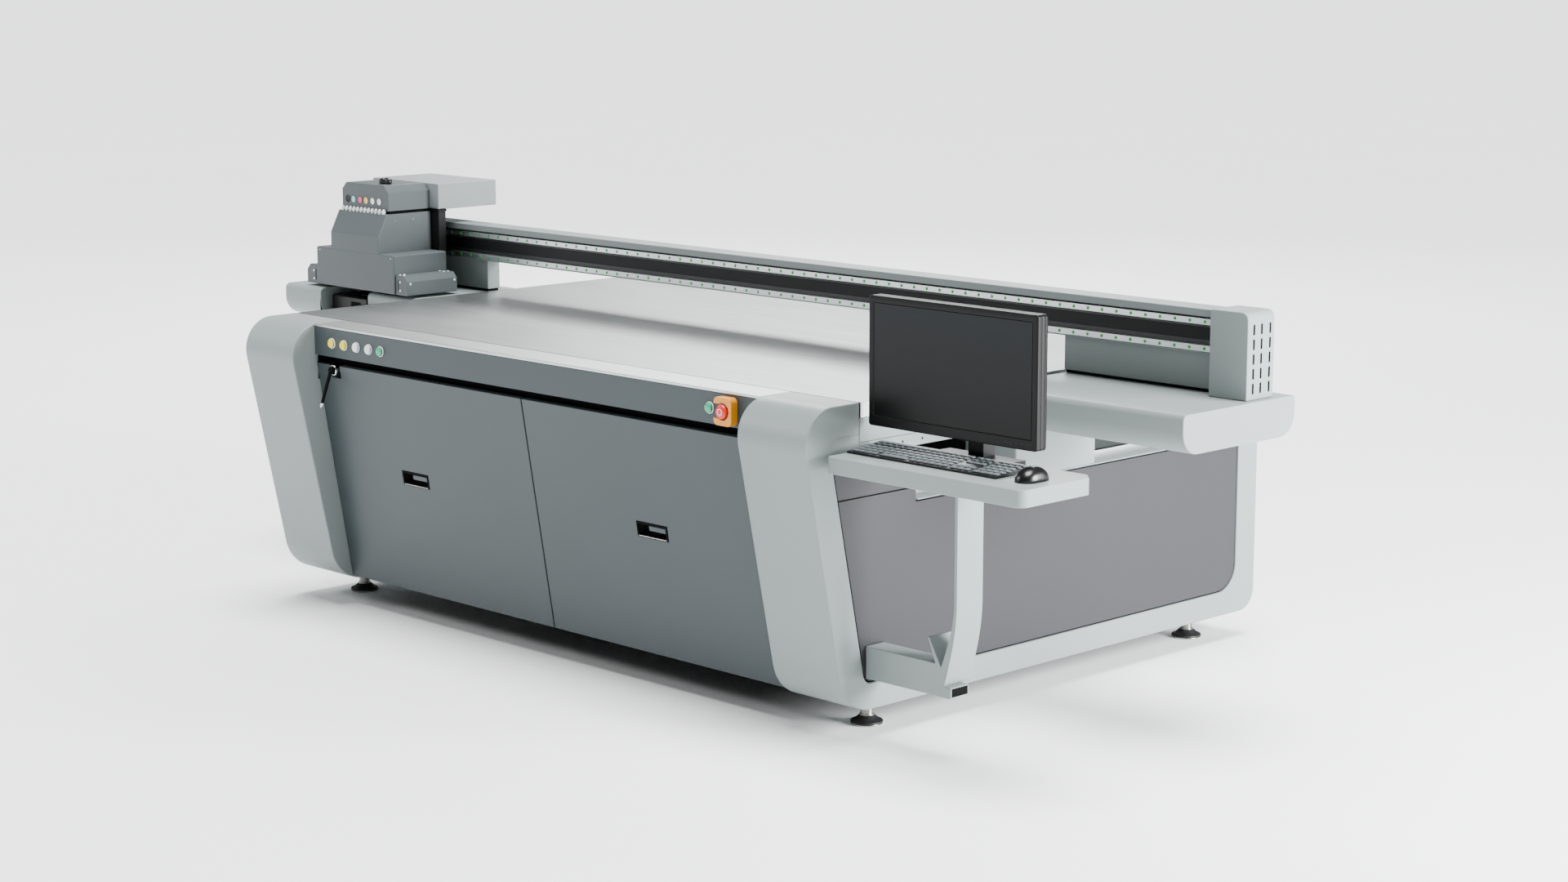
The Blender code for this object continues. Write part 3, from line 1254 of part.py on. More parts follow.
    place = (UPPER_X + KNOB_OFFSET[0], ink_y + KNOB_OFFSET[1], ink_top + GAP)
    body = empty("knob_body", place, machine)
    outline = []
    around = 12 * KNOB_LOBES
    for step in range(around):
        angle = 2 * math.pi * step / around
        radius = KNOB_RADIUS * (0.78 + 0.22 * math.cos(KNOB_LOBES * angle))
        outline.append((place[0] + radius * math.cos(angle), place[1] + radius * math.sin(angle)))
    knob = prism(outline, "z", place[2] + KNOB_HEIGHT * 0.4, place[2] + KNOB_HEIGHT)
    knob = add_object("clamp_knob", knob, body, paints["black"])
    stem = KNOB_RADIUS * 0.35
    profile = [(0, 0), (stem, 0), (stem, KNOB_HEIGHT * 0.6), (0, KNOB_HEIGHT * 0.6)]
    join(knob, turned(profile, "z", place, 16))


def build_inside(body, paints):
    """The suction blower and the control cabinet on the stand's cross beams."""
    floor = GROUND_CLEARANCE + SHEET + GAP + SIDE_BEAM[1] + GAP
    last_row = BODY_DEPTH - REAR_BAND - PANEL_CORNER_RADIUS - CROSS_BEAM
    middle = (FOOT_FRONT + last_row + CROSS_BEAM) / 2
    centre = (PILLAR_INSIDE / 2, middle, floor + BLOWER_RADIUS)
    half = BLOWER_LENGTH / 2
    profile = [(0, -half), (BLOWER_RADIUS, -half), (BLOWER_RADIUS, half), (0, half)]
    blower = add_object("suction_blower", turned(profile, "x", centre), body, paints["steel"])
    smooth(blower)
    join(blower, box(
        (centre[0] - half * 0.8, middle - BLOWER_RADIUS, floor),
        (centre[0] + half * 0.8, middle + BLOWER_RADIUS, floor + BLOWER_RADIUS / 2),
    ))
    bore = BLOWER_RADIUS - CHANNEL_WALL
    profile = [(0, CHANNEL_WALL - half), (bore, CHANNEL_WALL - half), (bore, half + SHEET), (0, half + SHEET)]
    cut(blower, turned(profile, "x", centre))
    width, depth, height = CABINET_SIZE
    x = -PILLAR_INSIDE / 2
    low = (x - width / 2, middle - depth / 4, floor)
    high = (x + width / 2, low[1] + depth, floor + height)
    cabinet = add_object("control_cabinet", box(low, high), body, paints["cover"])
    cut(cabinet, box(
        (low[0] + SHEET, low[1] - SHEET, low[2] + SHEET),
        (high[0] - SHEET, high[1] - SHEET, high[2] - SHEET),
    ))


def main():
    for old in list(bpy.data.objects):
        bpy.data.objects.remove(old, do_unlink=True)
    paints = {
        "cover": material("light_grey_paint", (0.56, 0.58, 0.59), 0.45),
        "panel": material("dark_grey_paint", (0.15, 0.16, 0.165), 0.5),
        "carriage": material("mid_grey_paint", (0.22, 0.24, 0.24), 0.45),
        "steel_paint": material("black_stand_paint", (0.03, 0.03, 0.03), 0.6),
        "bed": material("ribbed_aluminium", (0.50, 0.51, 0.51), 0.35, 1.0),
        "steel": material("ground_steel", (0.60, 0.60, 0.60), 0.25, 1.0),
        "black": material("black_plastic", (0.01, 0.01, 0.01), 0.4),
        "glass": material("dark_glass", (0.01, 0.012, 0.015), 0.1),
        "yellow": material("yellow_plastic", (0.85, 0.50, 0.02), 0.35),
        "white": material("white_plastic", (0.75, 0.75, 0.75), 0.35),
        "green": material("green_plastic", (0.02, 0.45, 0.20), 0.35),
        "red": material("red_plastic", (0.70, 0.03, 0.03), 0.35),
    }
    machine = empty("machine", (0, 0, 0))
    foremost = min(y for y, _ in frame_outline())
    machine.location.y = -(foremost + BODY_DEPTH) / 2
    fixed = empty("stand_body", (0, 0, 0), machine)
    gantry = empty("gantry_body", (0, GANTRY_Y, HOUSING_BOTTOM), machine)
    for name, sign in sides():
        build_side(name, sign, fixed, paints)
    build_stand(fixed, paints)
    build_table(fixed, paints)
    build_strip(fixed, paints)
    for index, (name, _) in enumerate(sides()):
        build_door(name, index, machine, paints)
    build_controls(machine, fixed, paints)
    build_feet(fixed, paints)
    build_shelf(fixed, paints)
    build_desk(machine, fixed, paints)
    build_gantry(gantry, machine, paints)
    build_carriage(machine, paints)
    build_inside(fixed, paints)


main()
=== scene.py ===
"""Finished surfaces of a flatbed UV printer, built round its fixed frame.

Metres, +Z up, X along the machine's front, Y from front to rear. Every piece takes its place from the frame's
own nodes, rides on the frame's body that carries it, and stands for the plain solid it covers.
"""

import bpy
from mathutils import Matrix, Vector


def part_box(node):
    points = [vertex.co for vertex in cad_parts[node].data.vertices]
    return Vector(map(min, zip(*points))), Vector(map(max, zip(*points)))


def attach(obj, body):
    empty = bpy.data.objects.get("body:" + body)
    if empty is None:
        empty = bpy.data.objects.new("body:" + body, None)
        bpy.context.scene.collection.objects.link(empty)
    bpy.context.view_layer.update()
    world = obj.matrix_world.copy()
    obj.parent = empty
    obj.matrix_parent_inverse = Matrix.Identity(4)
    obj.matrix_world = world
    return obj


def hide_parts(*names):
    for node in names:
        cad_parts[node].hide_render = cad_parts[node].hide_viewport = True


bl_info = {
    "name": "Flatbed UV Printer Finish",
    "version": (1, 0, 0),
    "blender": (4, 5, 0),
    "location": "View3D > Sidebar > Printer",
    "description": "Builds the covers, table, gantry, carriage and controls of a flatbed UV printer",
    "category": "Add Mesh",
}

import math

import bmesh
import bpy
import numpy as np

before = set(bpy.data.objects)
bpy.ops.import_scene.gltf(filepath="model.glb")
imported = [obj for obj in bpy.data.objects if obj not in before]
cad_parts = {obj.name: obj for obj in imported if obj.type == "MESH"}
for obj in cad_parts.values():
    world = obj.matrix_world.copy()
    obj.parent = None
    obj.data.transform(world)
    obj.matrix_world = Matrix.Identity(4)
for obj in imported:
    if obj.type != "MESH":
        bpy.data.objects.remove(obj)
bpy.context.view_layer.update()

GAP = 0.0003  # between pieces that touch in the frame
ARC_STEPS = 12  # stretches in a large rounded corner
EDGE_STEPS = 3  # stretches across a softened edge
SEGMENTS = 40  # round a turned piece
AXES = {"x": (1, 2, 0), "y": (0, 2, 1), "z": (0, 1, 2)}  # the axes of u, v and the carry direction


# ---------------------------------------------------------------- places

def corners(node):
    """Lowest and highest corner of a frame node, as two arrays."""
    low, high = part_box(node)
    return np.array(low), np.array(high)


def middle(node):
    """The middle of a frame node's box."""
    low, high = corners(node)
    return (low + high) / 2


# ---------------------------------------------------------------- shapes

# A shape is (points, [faces]), where each array of faces holds those with the same number of corners.


def outline(*marks, soft=0.0008, steps=ARC_STEPS):
    """A closed outline from (u, v) or (u, v, radius) marks.

    Each mark is rounded by an arc whose centre lies on the bisector, radius / sin(half the angle) away, and
    whose points turn round that centre from one tangent point to the other.
    """
    rows = np.array([(*mark, soft)[:3] for mark in marks], float)
    here, radius = rows[:, :2], rows[:, 2:]
    before = np.roll(here, 1, axis=0) - here
    after = np.roll(here, -1, axis=0) - here
    before /= np.linalg.norm(before, axis=1, keepdims=True)
    after /= np.linalg.norm(after, axis=1, keepdims=True)
    half = np.arccos(np.clip((before * after).sum(axis=1, keepdims=True), -1, 1)) / 2
    bisector = before + after
    bisector /= np.linalg.norm(bisector, axis=1, keepdims=True)
    centre = here + bisector * radius / np.sin(half)
    start = here + before * radius / np.tan(half) - centre
    bend = np.sign(before[:, :1] * after[:, 1:] - before[:, 1:] * after[:, :1])
    angle = -bend * (math.pi - 2 * half) * np.linspace(0, 1, steps + 1)[None, :]
    turned_u = start[:, :1] * np.cos(angle) - start[:, 1:] * np.sin(angle)
    turned_v = start[:, :1] * np.sin(angle) + start[:, 1:] * np.cos(angle)
    return (centre[:, None, :] + np.stack([turned_u, turned_v], axis=-1)).reshape(-1, 2)


def rectangle(u0, v0, u1, v1, radius=0.0008, steps=EDGE_STEPS):
    """A rounded rectangle's outline."""
    return outline((u0, v0), (u1, v0), (u1, v1), (u0, v1), soft=radius, steps=steps)


def inset(line, distance):
    """An outline moved inwards.

    Each point goes along the sum of its two edges' normals, divided by one plus the product of the normals.
    """
    edge = np.roll(line, -1, axis=0) - line
    length = np.maximum(np.linalg.norm(edge, axis=1, keepdims=True), 1e-9)
    normal = np.stack([-edge[:, 1], edge[:, 0]], axis=1) / length
    back = np.roll(normal, 1, axis=0)
    miter = (normal + back) / (1 + (normal * back).sum(axis=1, keepdims=True))
    area = (line[:, 0] * np.roll(line[:, 1], -1) - np.roll(line[:, 0], -1) * line[:, 1]).sum()
    return line + np.sign(area) * distance * miter


def placed(flat, heights, axis):
    """Points (rows, count, 3) from (rows, count, 2) outlines at one height a row, on the named carry axis."""
    points = np.empty((*flat.shape[:2], 3))
    points[..., list(AXES[axis][:2])] = flat
    points[..., AXES[axis][2]] = np.asarray(heights)[:, None]
    return points


def skin(points, capped=True, looped=False):
    """A closed surface over a grid (rows, around, 3): quads between rows, and a face over each open end."""
    rows, around = points.shape[:2]
    row = np.arange(rows if looped else rows - 1)[:, None]
    column = np.arange(around)[None, :]
    after = (column + 1) % around
    above = (row + 1) % rows * around
    quads = np.stack([row * around + column, row * around + after, above + after, above + column], axis=-1)
    faces = [quads.reshape(-1, 4)]
    if capped and not looped:
        ends = np.arange(around)
        faces += [ends[::-1][None], (rows - 1) * around + ends[None]]
    return points.reshape(-1, 3), faces


def slab(line, axis, low, high, edge=0.001, steps=EDGE_STEPS):
    """An outline carried along an axis, its two rims rounded by quarter circles of radius edge.

    Near a rim, the outline is inset by edge * (1 - sin a) at a height edge * (1 - cos a) from the end face.
    """
    turn = np.linspace(0, math.pi / 2, steps + 1)
    inwards = edge * (1 - np.sin(turn))
    rise = edge * (1 - np.cos(turn))
    depths = np.concatenate([inwards, inwards[::-1]])
    heights = np.concatenate([low + rise, high - rise[::-1]])
    rings = line[None] + depths[:, None, None] * (inset(line, 1.0) - line)[None]
    return skin(placed(rings, heights, axis))


def box(low, high, edge=0.001, steps=2):
    """A box with every edge rounded."""
    edge = min(edge, *(0.45 * (np.array(high) - np.array(low))))
    line = rectangle(low[0], low[1], high[0], high[1], edge, steps)
    return slab(line, "z", low[2], high[2], edge, steps)


def turned(profile, centre=(0, 0, 0), segments=SEGMENTS, hollow=False):
    """A surface of revolution: each (radius, height) of the profile goes round the vertical through the centre.

    A hollow one is a ring: its profile is a closed loop that stays clear of the axis.
    """
    profile = np.array(profile, float)
    angle = np.arange(segments) * 2 * math.pi / segments
    ring = np.stack([np.cos(angle), np.sin(angle)], axis=-1)
    points = placed(profile[:, :1, None] * ring[None], profile[:, 1], "z")
    points, faces = skin(points, capped=not hollow, looped=hollow)
    return points + np.array(centre), faces


def copies(shape, places):
    """One shape repeated at each of the places."""
    points, faces = shape
    places = np.array(places, float).reshape(-1, 3)
    offset = (np.arange(len(places)) * len(points))[:, None, None]
    many = (points[None] + places[:, None]).reshape(-1, 3)
    return many, [(part[None] + offset).reshape(-1, part.shape[1]) for part in faces]


def joined(*shapes):
    """Several shapes as one."""
    starts = np.cumsum([0] + [len(points) for points, _ in shapes])
    faces = [part + start for (_, parts), start in zip(shapes, starts) for part in parts]
    return np.concatenate([points for points, _ in shapes]), faces


def tipped(shape, angle, centre, axis="x"):
    """A shape turned by an angle about an axis through a point."""
    points, faces = shape
    first, second = {"x": (1, 2), "y": (2, 0), "z": (0, 1)}[axis]
    moved = points - np.array(centre)
    a, b = moved[:, first].copy(), moved[:, second].copy()
    moved[:, first] = a * math.cos(angle) - b * math.sin(angle)
    moved[:, second] = a * math.sin(angle) + b * math.cos(angle)
    return moved + np.array(centre), faces


def sheet_cells(across, down, keep, front_of):
    """A sheet of cells between break lines in X and Z, without the cells left out; a modifier thickens it.

    keep says which cells stay, and front_of gives a point's Y from its height.
    """
    x, z = np.meshgrid(across, down)
    points = np.stack([x, front_of(z), z], axis=-1).reshape(-1, 3)
    count = len(across)
    row, column = np.nonzero(keep)
    first = row * count + column
    return points, [np.stack([first, first + 1, first + 1 + count, first + count], axis=-1)]


def make(name, body, parts, replaces=None, thick=0.0, bevel=0.0):
    """A finished piece from (shape, finish name) parts, riding on a body and standing for frame nodes.

    A thick one is a sheet that a modifier gives its thickness, and bevel softens its folded edges.
    """
    mesh = bpy.data.meshes.new(name)
    points, faces = joined(*(shape for shape, _ in parts))
    mesh.from_pydata(points.tolist(), [], [face for part in faces for face in part.tolist()])
    counts = [sum(len(part) for part in shape[1]) for shape, _ in parts]
    mesh.polygons.foreach_set("material_index", np.repeat(np.arange(len(parts)), counts))
    for _, paint in parts:
        mesh.materials.append(finish(paint))
    shape = bmesh.new()
    shape.from_mesh(mesh)
    bmesh.ops.remove_doubles(shape, verts=shape.verts, dist=2e-6)
    if not thick:
        bmesh.ops.recalc_face_normals(shape, faces=shape.faces)
    shape.to_mesh(mesh)
    shape.free()
    mesh.shade_smooth()
    piece = bpy.data.objects.new(name, mesh)
    bpy.context.scene.collection.objects.link(piece)
    if thick:
        solid = piece.modifiers.new("Sheet", "SOLIDIFY")
        solid.thickness = thick
        solid.offset = -1.0
    if bevel:
        soft = piece.modifiers.new("Folded edge", "BEVEL")
        soft.width = bevel
        soft.segments = 2
        soft.limit_method = "ANGLE"
    normals = piece.modifiers.new("Face normals", "WEIGHTED_NORMAL")
    normals.weight = 100
    normals.keep_sharp = True
    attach(piece, body)
    if replaces:
        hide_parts(replaces)


# ---------------------------------------------------------------- finishes

def linear(code):
    """Linear red, green and blue of an sRGB hex colour."""
    values = np.array([int(code[index:index + 2], 16) for index in (1, 3, 5)]) / 255
    return tuple(np.where(values <= 0.04045, values / 12.92, ((values + 0.055) / 1.055) ** 2.4))


def per_metre(millimetres):
    """Texture scale at which one noise cell is this many millimetres across."""
    return 1000.0 / millimetres


def add_node(tree, kind, inputs=(), **settings):
    """Adds a node with its settings; an input is a value, or another node's output to link from."""
    node = tree.nodes.new(kind)
    for key, value in settings.items():
        setattr(node, key, value)
    for key, value in dict(inputs).items():
        if isinstance(value, bpy.types.NodeSocket):
            tree.links.new(value, node.inputs[key])
        else:
            node.inputs[key].default_value = value
    return node


def start_material(name, **sockets):
    """A new node material: (material, tree, shader, object coordinates)."""
    made = bpy.data.materials.new(name)
    made.use_nodes = True
    tree = made.node_tree
    shader = tree.nodes["Principled BSDF"]
    for key, value in sockets.items():
        shader.inputs[key.replace("_", " ").title().replace("Ior", "IOR")].default_value = value
    return made, tree, shader, add_node(tree, "ShaderNodeTexCoord").outputs["Object"]


def shade(tree, colour, pattern, low, high):
    """A colour multiplied by a brightness that follows a pattern from low to high.

    Noise stays between 0.3 and 0.7 nearly everywhere, so that stretch covers the whole range.
    """
    level = add_node(tree, "ShaderNodeMapRange", {"Value": pattern, "From Min": 0.3, "From Max": 0.7,
                                                  "To Min": low, "To Max": high})
    mixed = add_node(tree, "ShaderNodeVectorMath", {0: tuple(colour), "Scale": level.outputs["Result"]},
                     operation="SCALE")
    return mixed.outputs["Vector"]


def add_gloss(tree, shader, pattern, smooth, rough):
    """Roughness that follows a pattern from smooth to rough."""
    level = add_node(tree, "ShaderNodeMapRange", {"Value": pattern, "To Min": smooth, "To Max": rough})
    tree.links.new(level.outputs["Result"], shader.inputs["Roughness"])


def add_bump(tree, shader, height, strength, distance):
    """A relief that follows a pattern, laid over any relief that the shader already has."""
    bump = add_node(tree, "ShaderNodeBump", {"Height": height, "Strength": strength, "Distance": distance})
    if shader.inputs["Normal"].is_linked:
        tree.links.new(shader.inputs["Normal"].links[0].from_socket, bump.inputs["Normal"])
    tree.links.new(bump.outputs["Normal"], shader.inputs["Normal"])


def powder_coat(name, colour, roughness=0.42):
    """Powder-coated sheet steel: an even satin paint with a faint orange peel and soft clouds of tone."""
    made, tree, shader, place = start_material(name, roughness=roughness, ior=1.5)
    shader.inputs["Specular IOR Level"].default_value = 0.3
    peel = add_node(tree, "ShaderNodeTexNoise", {"Vector": place, "Scale": per_metre(5.0), "Detail": 3.0})
    cloud = add_node(tree, "ShaderNodeTexNoise", {"Vector": place, "Scale": per_metre(420.0), "Detail": 2.0})
    tree.links.new(shade(tree, colour, cloud.outputs["Fac"], 0.975, 1.02), shader.inputs["Base Color"])
    add_gloss(tree, shader, peel.outputs["Fac"], roughness - 0.06, roughness + 0.06)
    add_bump(tree, shader, peel.outputs["Fac"], 0.06, 0.0006)
    return made


def ribbed_aluminium(name, colour):
    """Extruded aluminium table, brushed along fine ridges: streaked reflections with a soft satin gloss.

    The real ridges are about 2 mm apart; they are drawn coarser, with painted shade in each groove, so that
    they show.
    """
    # A wave texture repeats every 20 units divided by 2 pi, so this scale makes one wave as long as the pitch.
    waves = 2 * math.pi / 20 / bpy.context.scene.printer_sizes.ridge_pitch
    made, tree, shader, place = start_material(name, roughness=0.3, metallic=1.0)
    stretch = add_node(tree, "ShaderNodeMapping", {"Vector": place, "Scale": (0.02, 1.0, 1.0)})
    brushed = add_node(tree, "ShaderNodeTexNoise", {"Vector": stretch.outputs["Vector"],
                                                    "Scale": per_metre(6.0), "Detail": 4.0})
    ridge = add_node(tree, "ShaderNodeTexWave", {"Vector": place, "Scale": waves},
                     wave_type="BANDS", bands_direction="Y", wave_profile="SIN")
    # the colour darkens in each ridge's trough, painted shade of the grooves, and varies with the brushed
    # streaks as the metal's own tone
    groove_shade_and_brushing = add_node(tree, "ShaderNodeMath", {0: ridge.outputs["Fac"], 1: brushed.outputs["Fac"]},
                       operation="MULTIPLY")
    tree.links.new(shade(tree, colour, groove_shade_and_brushing.outputs["Value"], 0.62, 1.06), shader.inputs["Base Color"])
    add_gloss(tree, shader, brushed.outputs["Fac"], 0.27, 0.35)
    add_bump(tree, shader, brushed.outputs["Fac"], 0.05, 0.0004)
    add_bump(tree, shader, ridge.outputs["Fac"], 0.25, 0.0003)
    return made


def ground_steel(name, colour, roughness, along=(0.02, 1.0, 1.0)):
    """Ground steel: bright metal with fine streaks along the grinding direction."""
    made, tree, shader, place = start_material(name, roughness=roughness, metallic=1.0)
    stretch = add_node(tree, "ShaderNodeMapping", {"Vector": place, "Scale": along})
    streak = add_node(tree, "ShaderNodeTexNoise", {"Vector": stretch.outputs["Vector"], "Scale": per_metre(3.0),
                                                   "Detail": 3.0})
    tree.links.new(shade(tree, colour, streak.outputs["Fac"], 0.94, 1.04), shader.inputs["Base Color"])
    add_gloss(tree, shader, streak.outputs["Fac"], roughness - 0.04, roughness + 0.06)
    return made


def moulded_plastic(name, colour, roughness, grain=0.05, grain_mm=1.6, coat=0.0, gloss=0.5):
    """Injection-moulded plastic: one deep colour, with a spark-eroded grain that breaks up its gloss."""
    made, tree, shader, place = start_material(name, roughness=roughness, ior=1.5)
    shader.inputs["Coat Weight"].default_value = coat
    shader.inputs["Specular IOR Level"].default_value = gloss
    grit = add_node(tree, "ShaderNodeTexNoise", {"Vector": place, "Scale": per_metre(grain_mm), "Detail": 2.0})
    tree.links.new(shade(tree, colour, grit.outputs["Fac"], 0.95, 1.05), shader.inputs["Base Color"])
    add_bump(tree, shader, grit.outputs["Fac"], grain, 0.0002)
    return made


def screen_with_painted_reflection(name, colour):
    """Semi-gloss liquid-crystal screen, switched off: near black, with a painted reflection that makes it paler
    towards its top.
    """
    low, high = corners("monitor_screen")
    made, tree, shader, place = start_material(name, roughness=0.34, ior=1.45)
    shader.inputs["Specular IOR Level"].default_value = 0.2
    # painted reflection: the colour grows paler with height, from the screen's foot to its top
    height = add_node(tree, "ShaderNodeSeparateXYZ", {"Vector": place}).outputs["Z"]
    level = add_node(tree, "ShaderNodeMapRange", {"Value": height, "From Min": low[2], "From Max": high[2],
                                                  "To Min": 0.15, "To Max": 1.25})
    mixed = add_node(tree, "ShaderNodeVectorMath", {0: tuple(colour), "Scale": level.outputs["Result"]},
                     operation="SCALE")
    tree.links.new(mixed.outputs["Vector"], shader.inputs["Base Color"])
    return made


def floor_paint(name, colour):
    """Matt studio paint, with clouds too faint to see as a pattern."""
    made, tree, shader, place = start_material(name, roughness=0.9, ior=1.3)
    cloud = add_node(tree, "ShaderNodeTexNoise", {"Vector": place, "Scale": 0.5})
    tree.links.new(shade(tree, colour, cloud.outputs["Fac"], 0.995, 1.005), shader.inputs["Base Color"])
    return made


# Each finish: its kind of surface, its colour (a setting's name, or an sRGB hex value) and that kind's options.
LIT_LENS = {"roughness": 0.3, "coat": 0.3}
INK_CAP = {"roughness": 0.35}
FINISHES = {
    "cover_powder_coat": (powder_coat, "cover", {}),
    "panel_powder_coat": (powder_coat, "panel", {"roughness": 0.4}),
    "side_powder_coat": (powder_coat, "side", {"roughness": 0.45}),
    "carriage_powder_coat": (powder_coat, "carriage", {"roughness": 0.4}),
    "fascia_powder_coat": (powder_coat, "#7A8282", {"roughness": 0.38}),
    # the carriage's grey drawn lighter for the rear box: painted light on its lit top and sides
    "rear_box_powder_coat": (powder_coat, "#8A9092", {}),
    "stand_enamel": (powder_coat, "#1B1C1D", {"roughness": 0.5}),
    "ribbed_table_aluminium": (ribbed_aluminium, "table", {}),
    "brushed_sill_aluminium": (ground_steel, "#C9CDCC", {"roughness": 0.34}),
    "ground_rail_steel": (ground_steel, "#D5DADA", {"roughness": 0.32}),
    "turned_steel": (ground_steel, "#B9B6B0", {"roughness": 0.24, "along": (1.0, 1.0, 0.1)}),
    "polished_chrome": (ground_steel, "#DADCDD", {"roughness": 0.1}),
    "black_moulded_abs": (moulded_plastic, "#0C0D0E", {"roughness": 0.4, "gloss": 0.3}),
    "gloss_black_abs": (moulded_plastic, "#08090A", {"roughness": 0.3, "grain": 0.01}),
    # near black: the lever's own matt plastic, and painted shade where it fills a gap, seam, crease, slot, vent
    # or opening
    "black_gap": (moulded_plastic, "#030404", {"roughness": 0.8, "gloss": 0.1}),
    "belt_rubber": (moulded_plastic, "#090B0D",
                    {"roughness": 0.45, "grain": 0.2, "grain_mm": 3.0, "gloss": 0.25}),
    "black_anodised": (moulded_plastic, "#090A0B",
                       {"roughness": 0.45, "grain": 0.08, "grain_mm": 2.5, "gloss": 0.25}),
    "groove_anodised": (moulded_plastic, "#24292B", {"roughness": 0.36, "grain": 0.08, "grain_mm": 2.5}),
    "moulded_foot_rubber": (moulded_plastic, "#0D0D0E", {"roughness": 0.5, "grain": 0.2, "grain_mm": 2.0}),
    "keycap_abs": (moulded_plastic, "#5C6467", {"roughness": 0.55, "gloss": 0.35}),
    "monitor_case_abs": (moulded_plastic, "#050607", {"roughness": 0.4, "grain": 0.03, "gloss": 0.18}),
    "monitor_trim_abs": (moulded_plastic, "#1C1F21", {"roughness": 0.4, "gloss": 0.25}),
    "dark_screen": (screen_with_painted_reflection, "#121618", {}),
    "white_polycarbonate": (moulded_plastic, "#E4E6E8", LIT_LENS),
    "yellow_polycarbonate": (moulded_plastic, "#E8D606", LIT_LENS),
    "green_polycarbonate": (moulded_plastic, "#00A374", LIT_LENS),
    "guard_yellow_abs": (moulded_plastic, "#DE8C00", {"roughness": 0.35, "coat": 0.2}),
    "stop_red_abs": (moulded_plastic, "#DA1A14", {"roughness": 0.35, "coat": 0.2}),
    "cap_green_plastic": (moulded_plastic, "#1E9A3C", {"roughness": 0.4}),
    "ink_cyan": (moulded_plastic, "#7CCBD4", INK_CAP),
    "ink_magenta": (moulded_plastic, "#E0557F", INK_CAP),
    "ink_yellow": (moulded_plastic, "#E3C95E", INK_CAP),
    "studio_floor_paint": (floor_paint, "#F6F7F8", {}),
}


def finish(name):
    """The named finish, made on its first use."""
    if name not in bpy.data.materials:
        kind, colour, options = FINISHES[name]
        if not colour.startswith("#"):
            colour = tuple(getattr(bpy.context.scene.printer_colours, colour))
        else:
            colour = linear(colour)
        kind(name, colour, **options)
    return bpy.data.materials[name]


def colour_setting(title, description, code):
    """A colour that a user can change, from its sRGB hex value."""
    return bpy.props.FloatVectorProperty(name=title, description=description, default=linear(code), size=3,
                                         subtype="COLOR", min=0.0, max=1.0)


def length_setting(title, description, metres):
    """A length that a user can change."""
    return bpy.props.FloatProperty(name=title, description=description, default=metres, min=0.0, precision=4,
                                   subtype="DISTANCE", unit="LENGTH")


class PrinterColours(bpy.types.PropertyGroup):
    """Colours of the painted and brushed surfaces."""

    cover: colour_setting("Covers", "Light grey of the frames, housings, beam and shelf", "#848D8C")
    panel: colour_setting("Front panels", "Dark grey of the front panels and the control strip", "#3A4346")
    side: colour_setting("Side panels", "Grey of the side panels", "#2C2D30")
    carriage: colour_setting("Carriage", "Grey of the print carriage", "#4D5456")
    table: colour_setting("Table", "Brushed aluminium of the table", "#DDE1E1")


class PrinterSizes(bpy.types.PropertyGroup):
    """Sizes of the details that the frame's solids don't hold."""

    frame_edge: length_setting("Frame edge", "Radius of the side frames' folded edges", 0.004)
    cover_edge: length_setting("Cover edge", "Radius of the gantry covers' edges", 0.0025)
    sheet_edge: length_setting("Sheet edge", "Radius of the edges of thin sheet", 0.0012)
    seam: length_setting("Seam", "Width of the black seam round the side panels", 0.004)
    ridge_pitch: length_setting("Ridge pitch", "Distance between the table's ridges as drawn", 0.008)
    cap_pitch: length_setting("Cap pitch", "Distance between the screw caps on the guides", 0.0504)
    cap_radius: length_setting("Cap radius", "Radius of a screw cap", 0.0046)
    key_pitch: length_setting("Key pitch", "Distance between the keyboard's keys", 0.0222)


# ---------------------------------------------------------------- shapes that several pieces share

SIDES = (("left", -1), ("right", 1))  # each side with the sign of its X
LEAN = 0.2077  # the pillars lean back by this much for each metre they go down
PILLAR_ROUND = 0.100
PILLAR_LINE = corners("left_side_frame")[0][1] - PILLAR_ROUND * (LEAN + math.hypot(1, LEAN) - 1)
TABLE_TOP = corners("vacuum_bed")[1][2]
DOOR_ANGLE = math.atan(0.166)
DOOR_SETBACK = 0.005  # from the control strip's front back to the panels' top edge
HEAD_BACK = 0.224  # how far a pillar's head reaches behind the pillar line
HEAD_UNDER = 0.834  # height of the head's underside
PILLAR_DEPTH = 0.091  # along Y
REAR_BAND = 0.095  # depth of a side frame's rear band
BAND_TOP = 0.155  # height of a side frame's bottom band
TIP = 0.0003  # radius left at the tip of a turned piece, so that its last ring isn't a point


def deep(distance):
    """World Y at a distance behind the line where the pillars' fronts would meet the table's top."""
    return PILLAR_LINE + distance


def pillar_front(z):
    """World Y of the leaning front of a pillar at a height."""
    return deep(LEAN * (TABLE_TOP - z))


def door_front(z):
    """World Y of the leaning front panels at a height."""
    top = corners("left_front_panel")[1][2]
    return corners("control_strip")[0][1] + DOOR_SETBACK + math.tan(DOOR_ANGLE) * (top - z)


def screw(radius, rise, segments=14):
    """A low domed screw head at the origin, facing along +Z."""
    profile = [(radius, -0.001), (radius, 0.4 * rise), (0.8 * radius, 0.85 * rise), (0.4 * radius, rise),
               (0.0004, rise)]
    return turned(profile, segments=segments)


def facing(shape, side):
    """A shape made along +Z, turned to face -Y, +Y, -X or +X."""
    turns = {"front": (math.pi / 2, "x"), "rear": (-math.pi / 2, "x"), "left": (-math.pi / 2, "y"),
             "right": (math.pi / 2, "y")}
    angle, axis = turns[side]
    return tipped(shape, angle, (0, 0, 0), axis)


def turned_front(profile, place, hollow=False):
    """A surface of revolution that faces the front and stands on the plane through a place."""
    return copies(facing(turned(profile, hollow=hollow), "front"), [place])


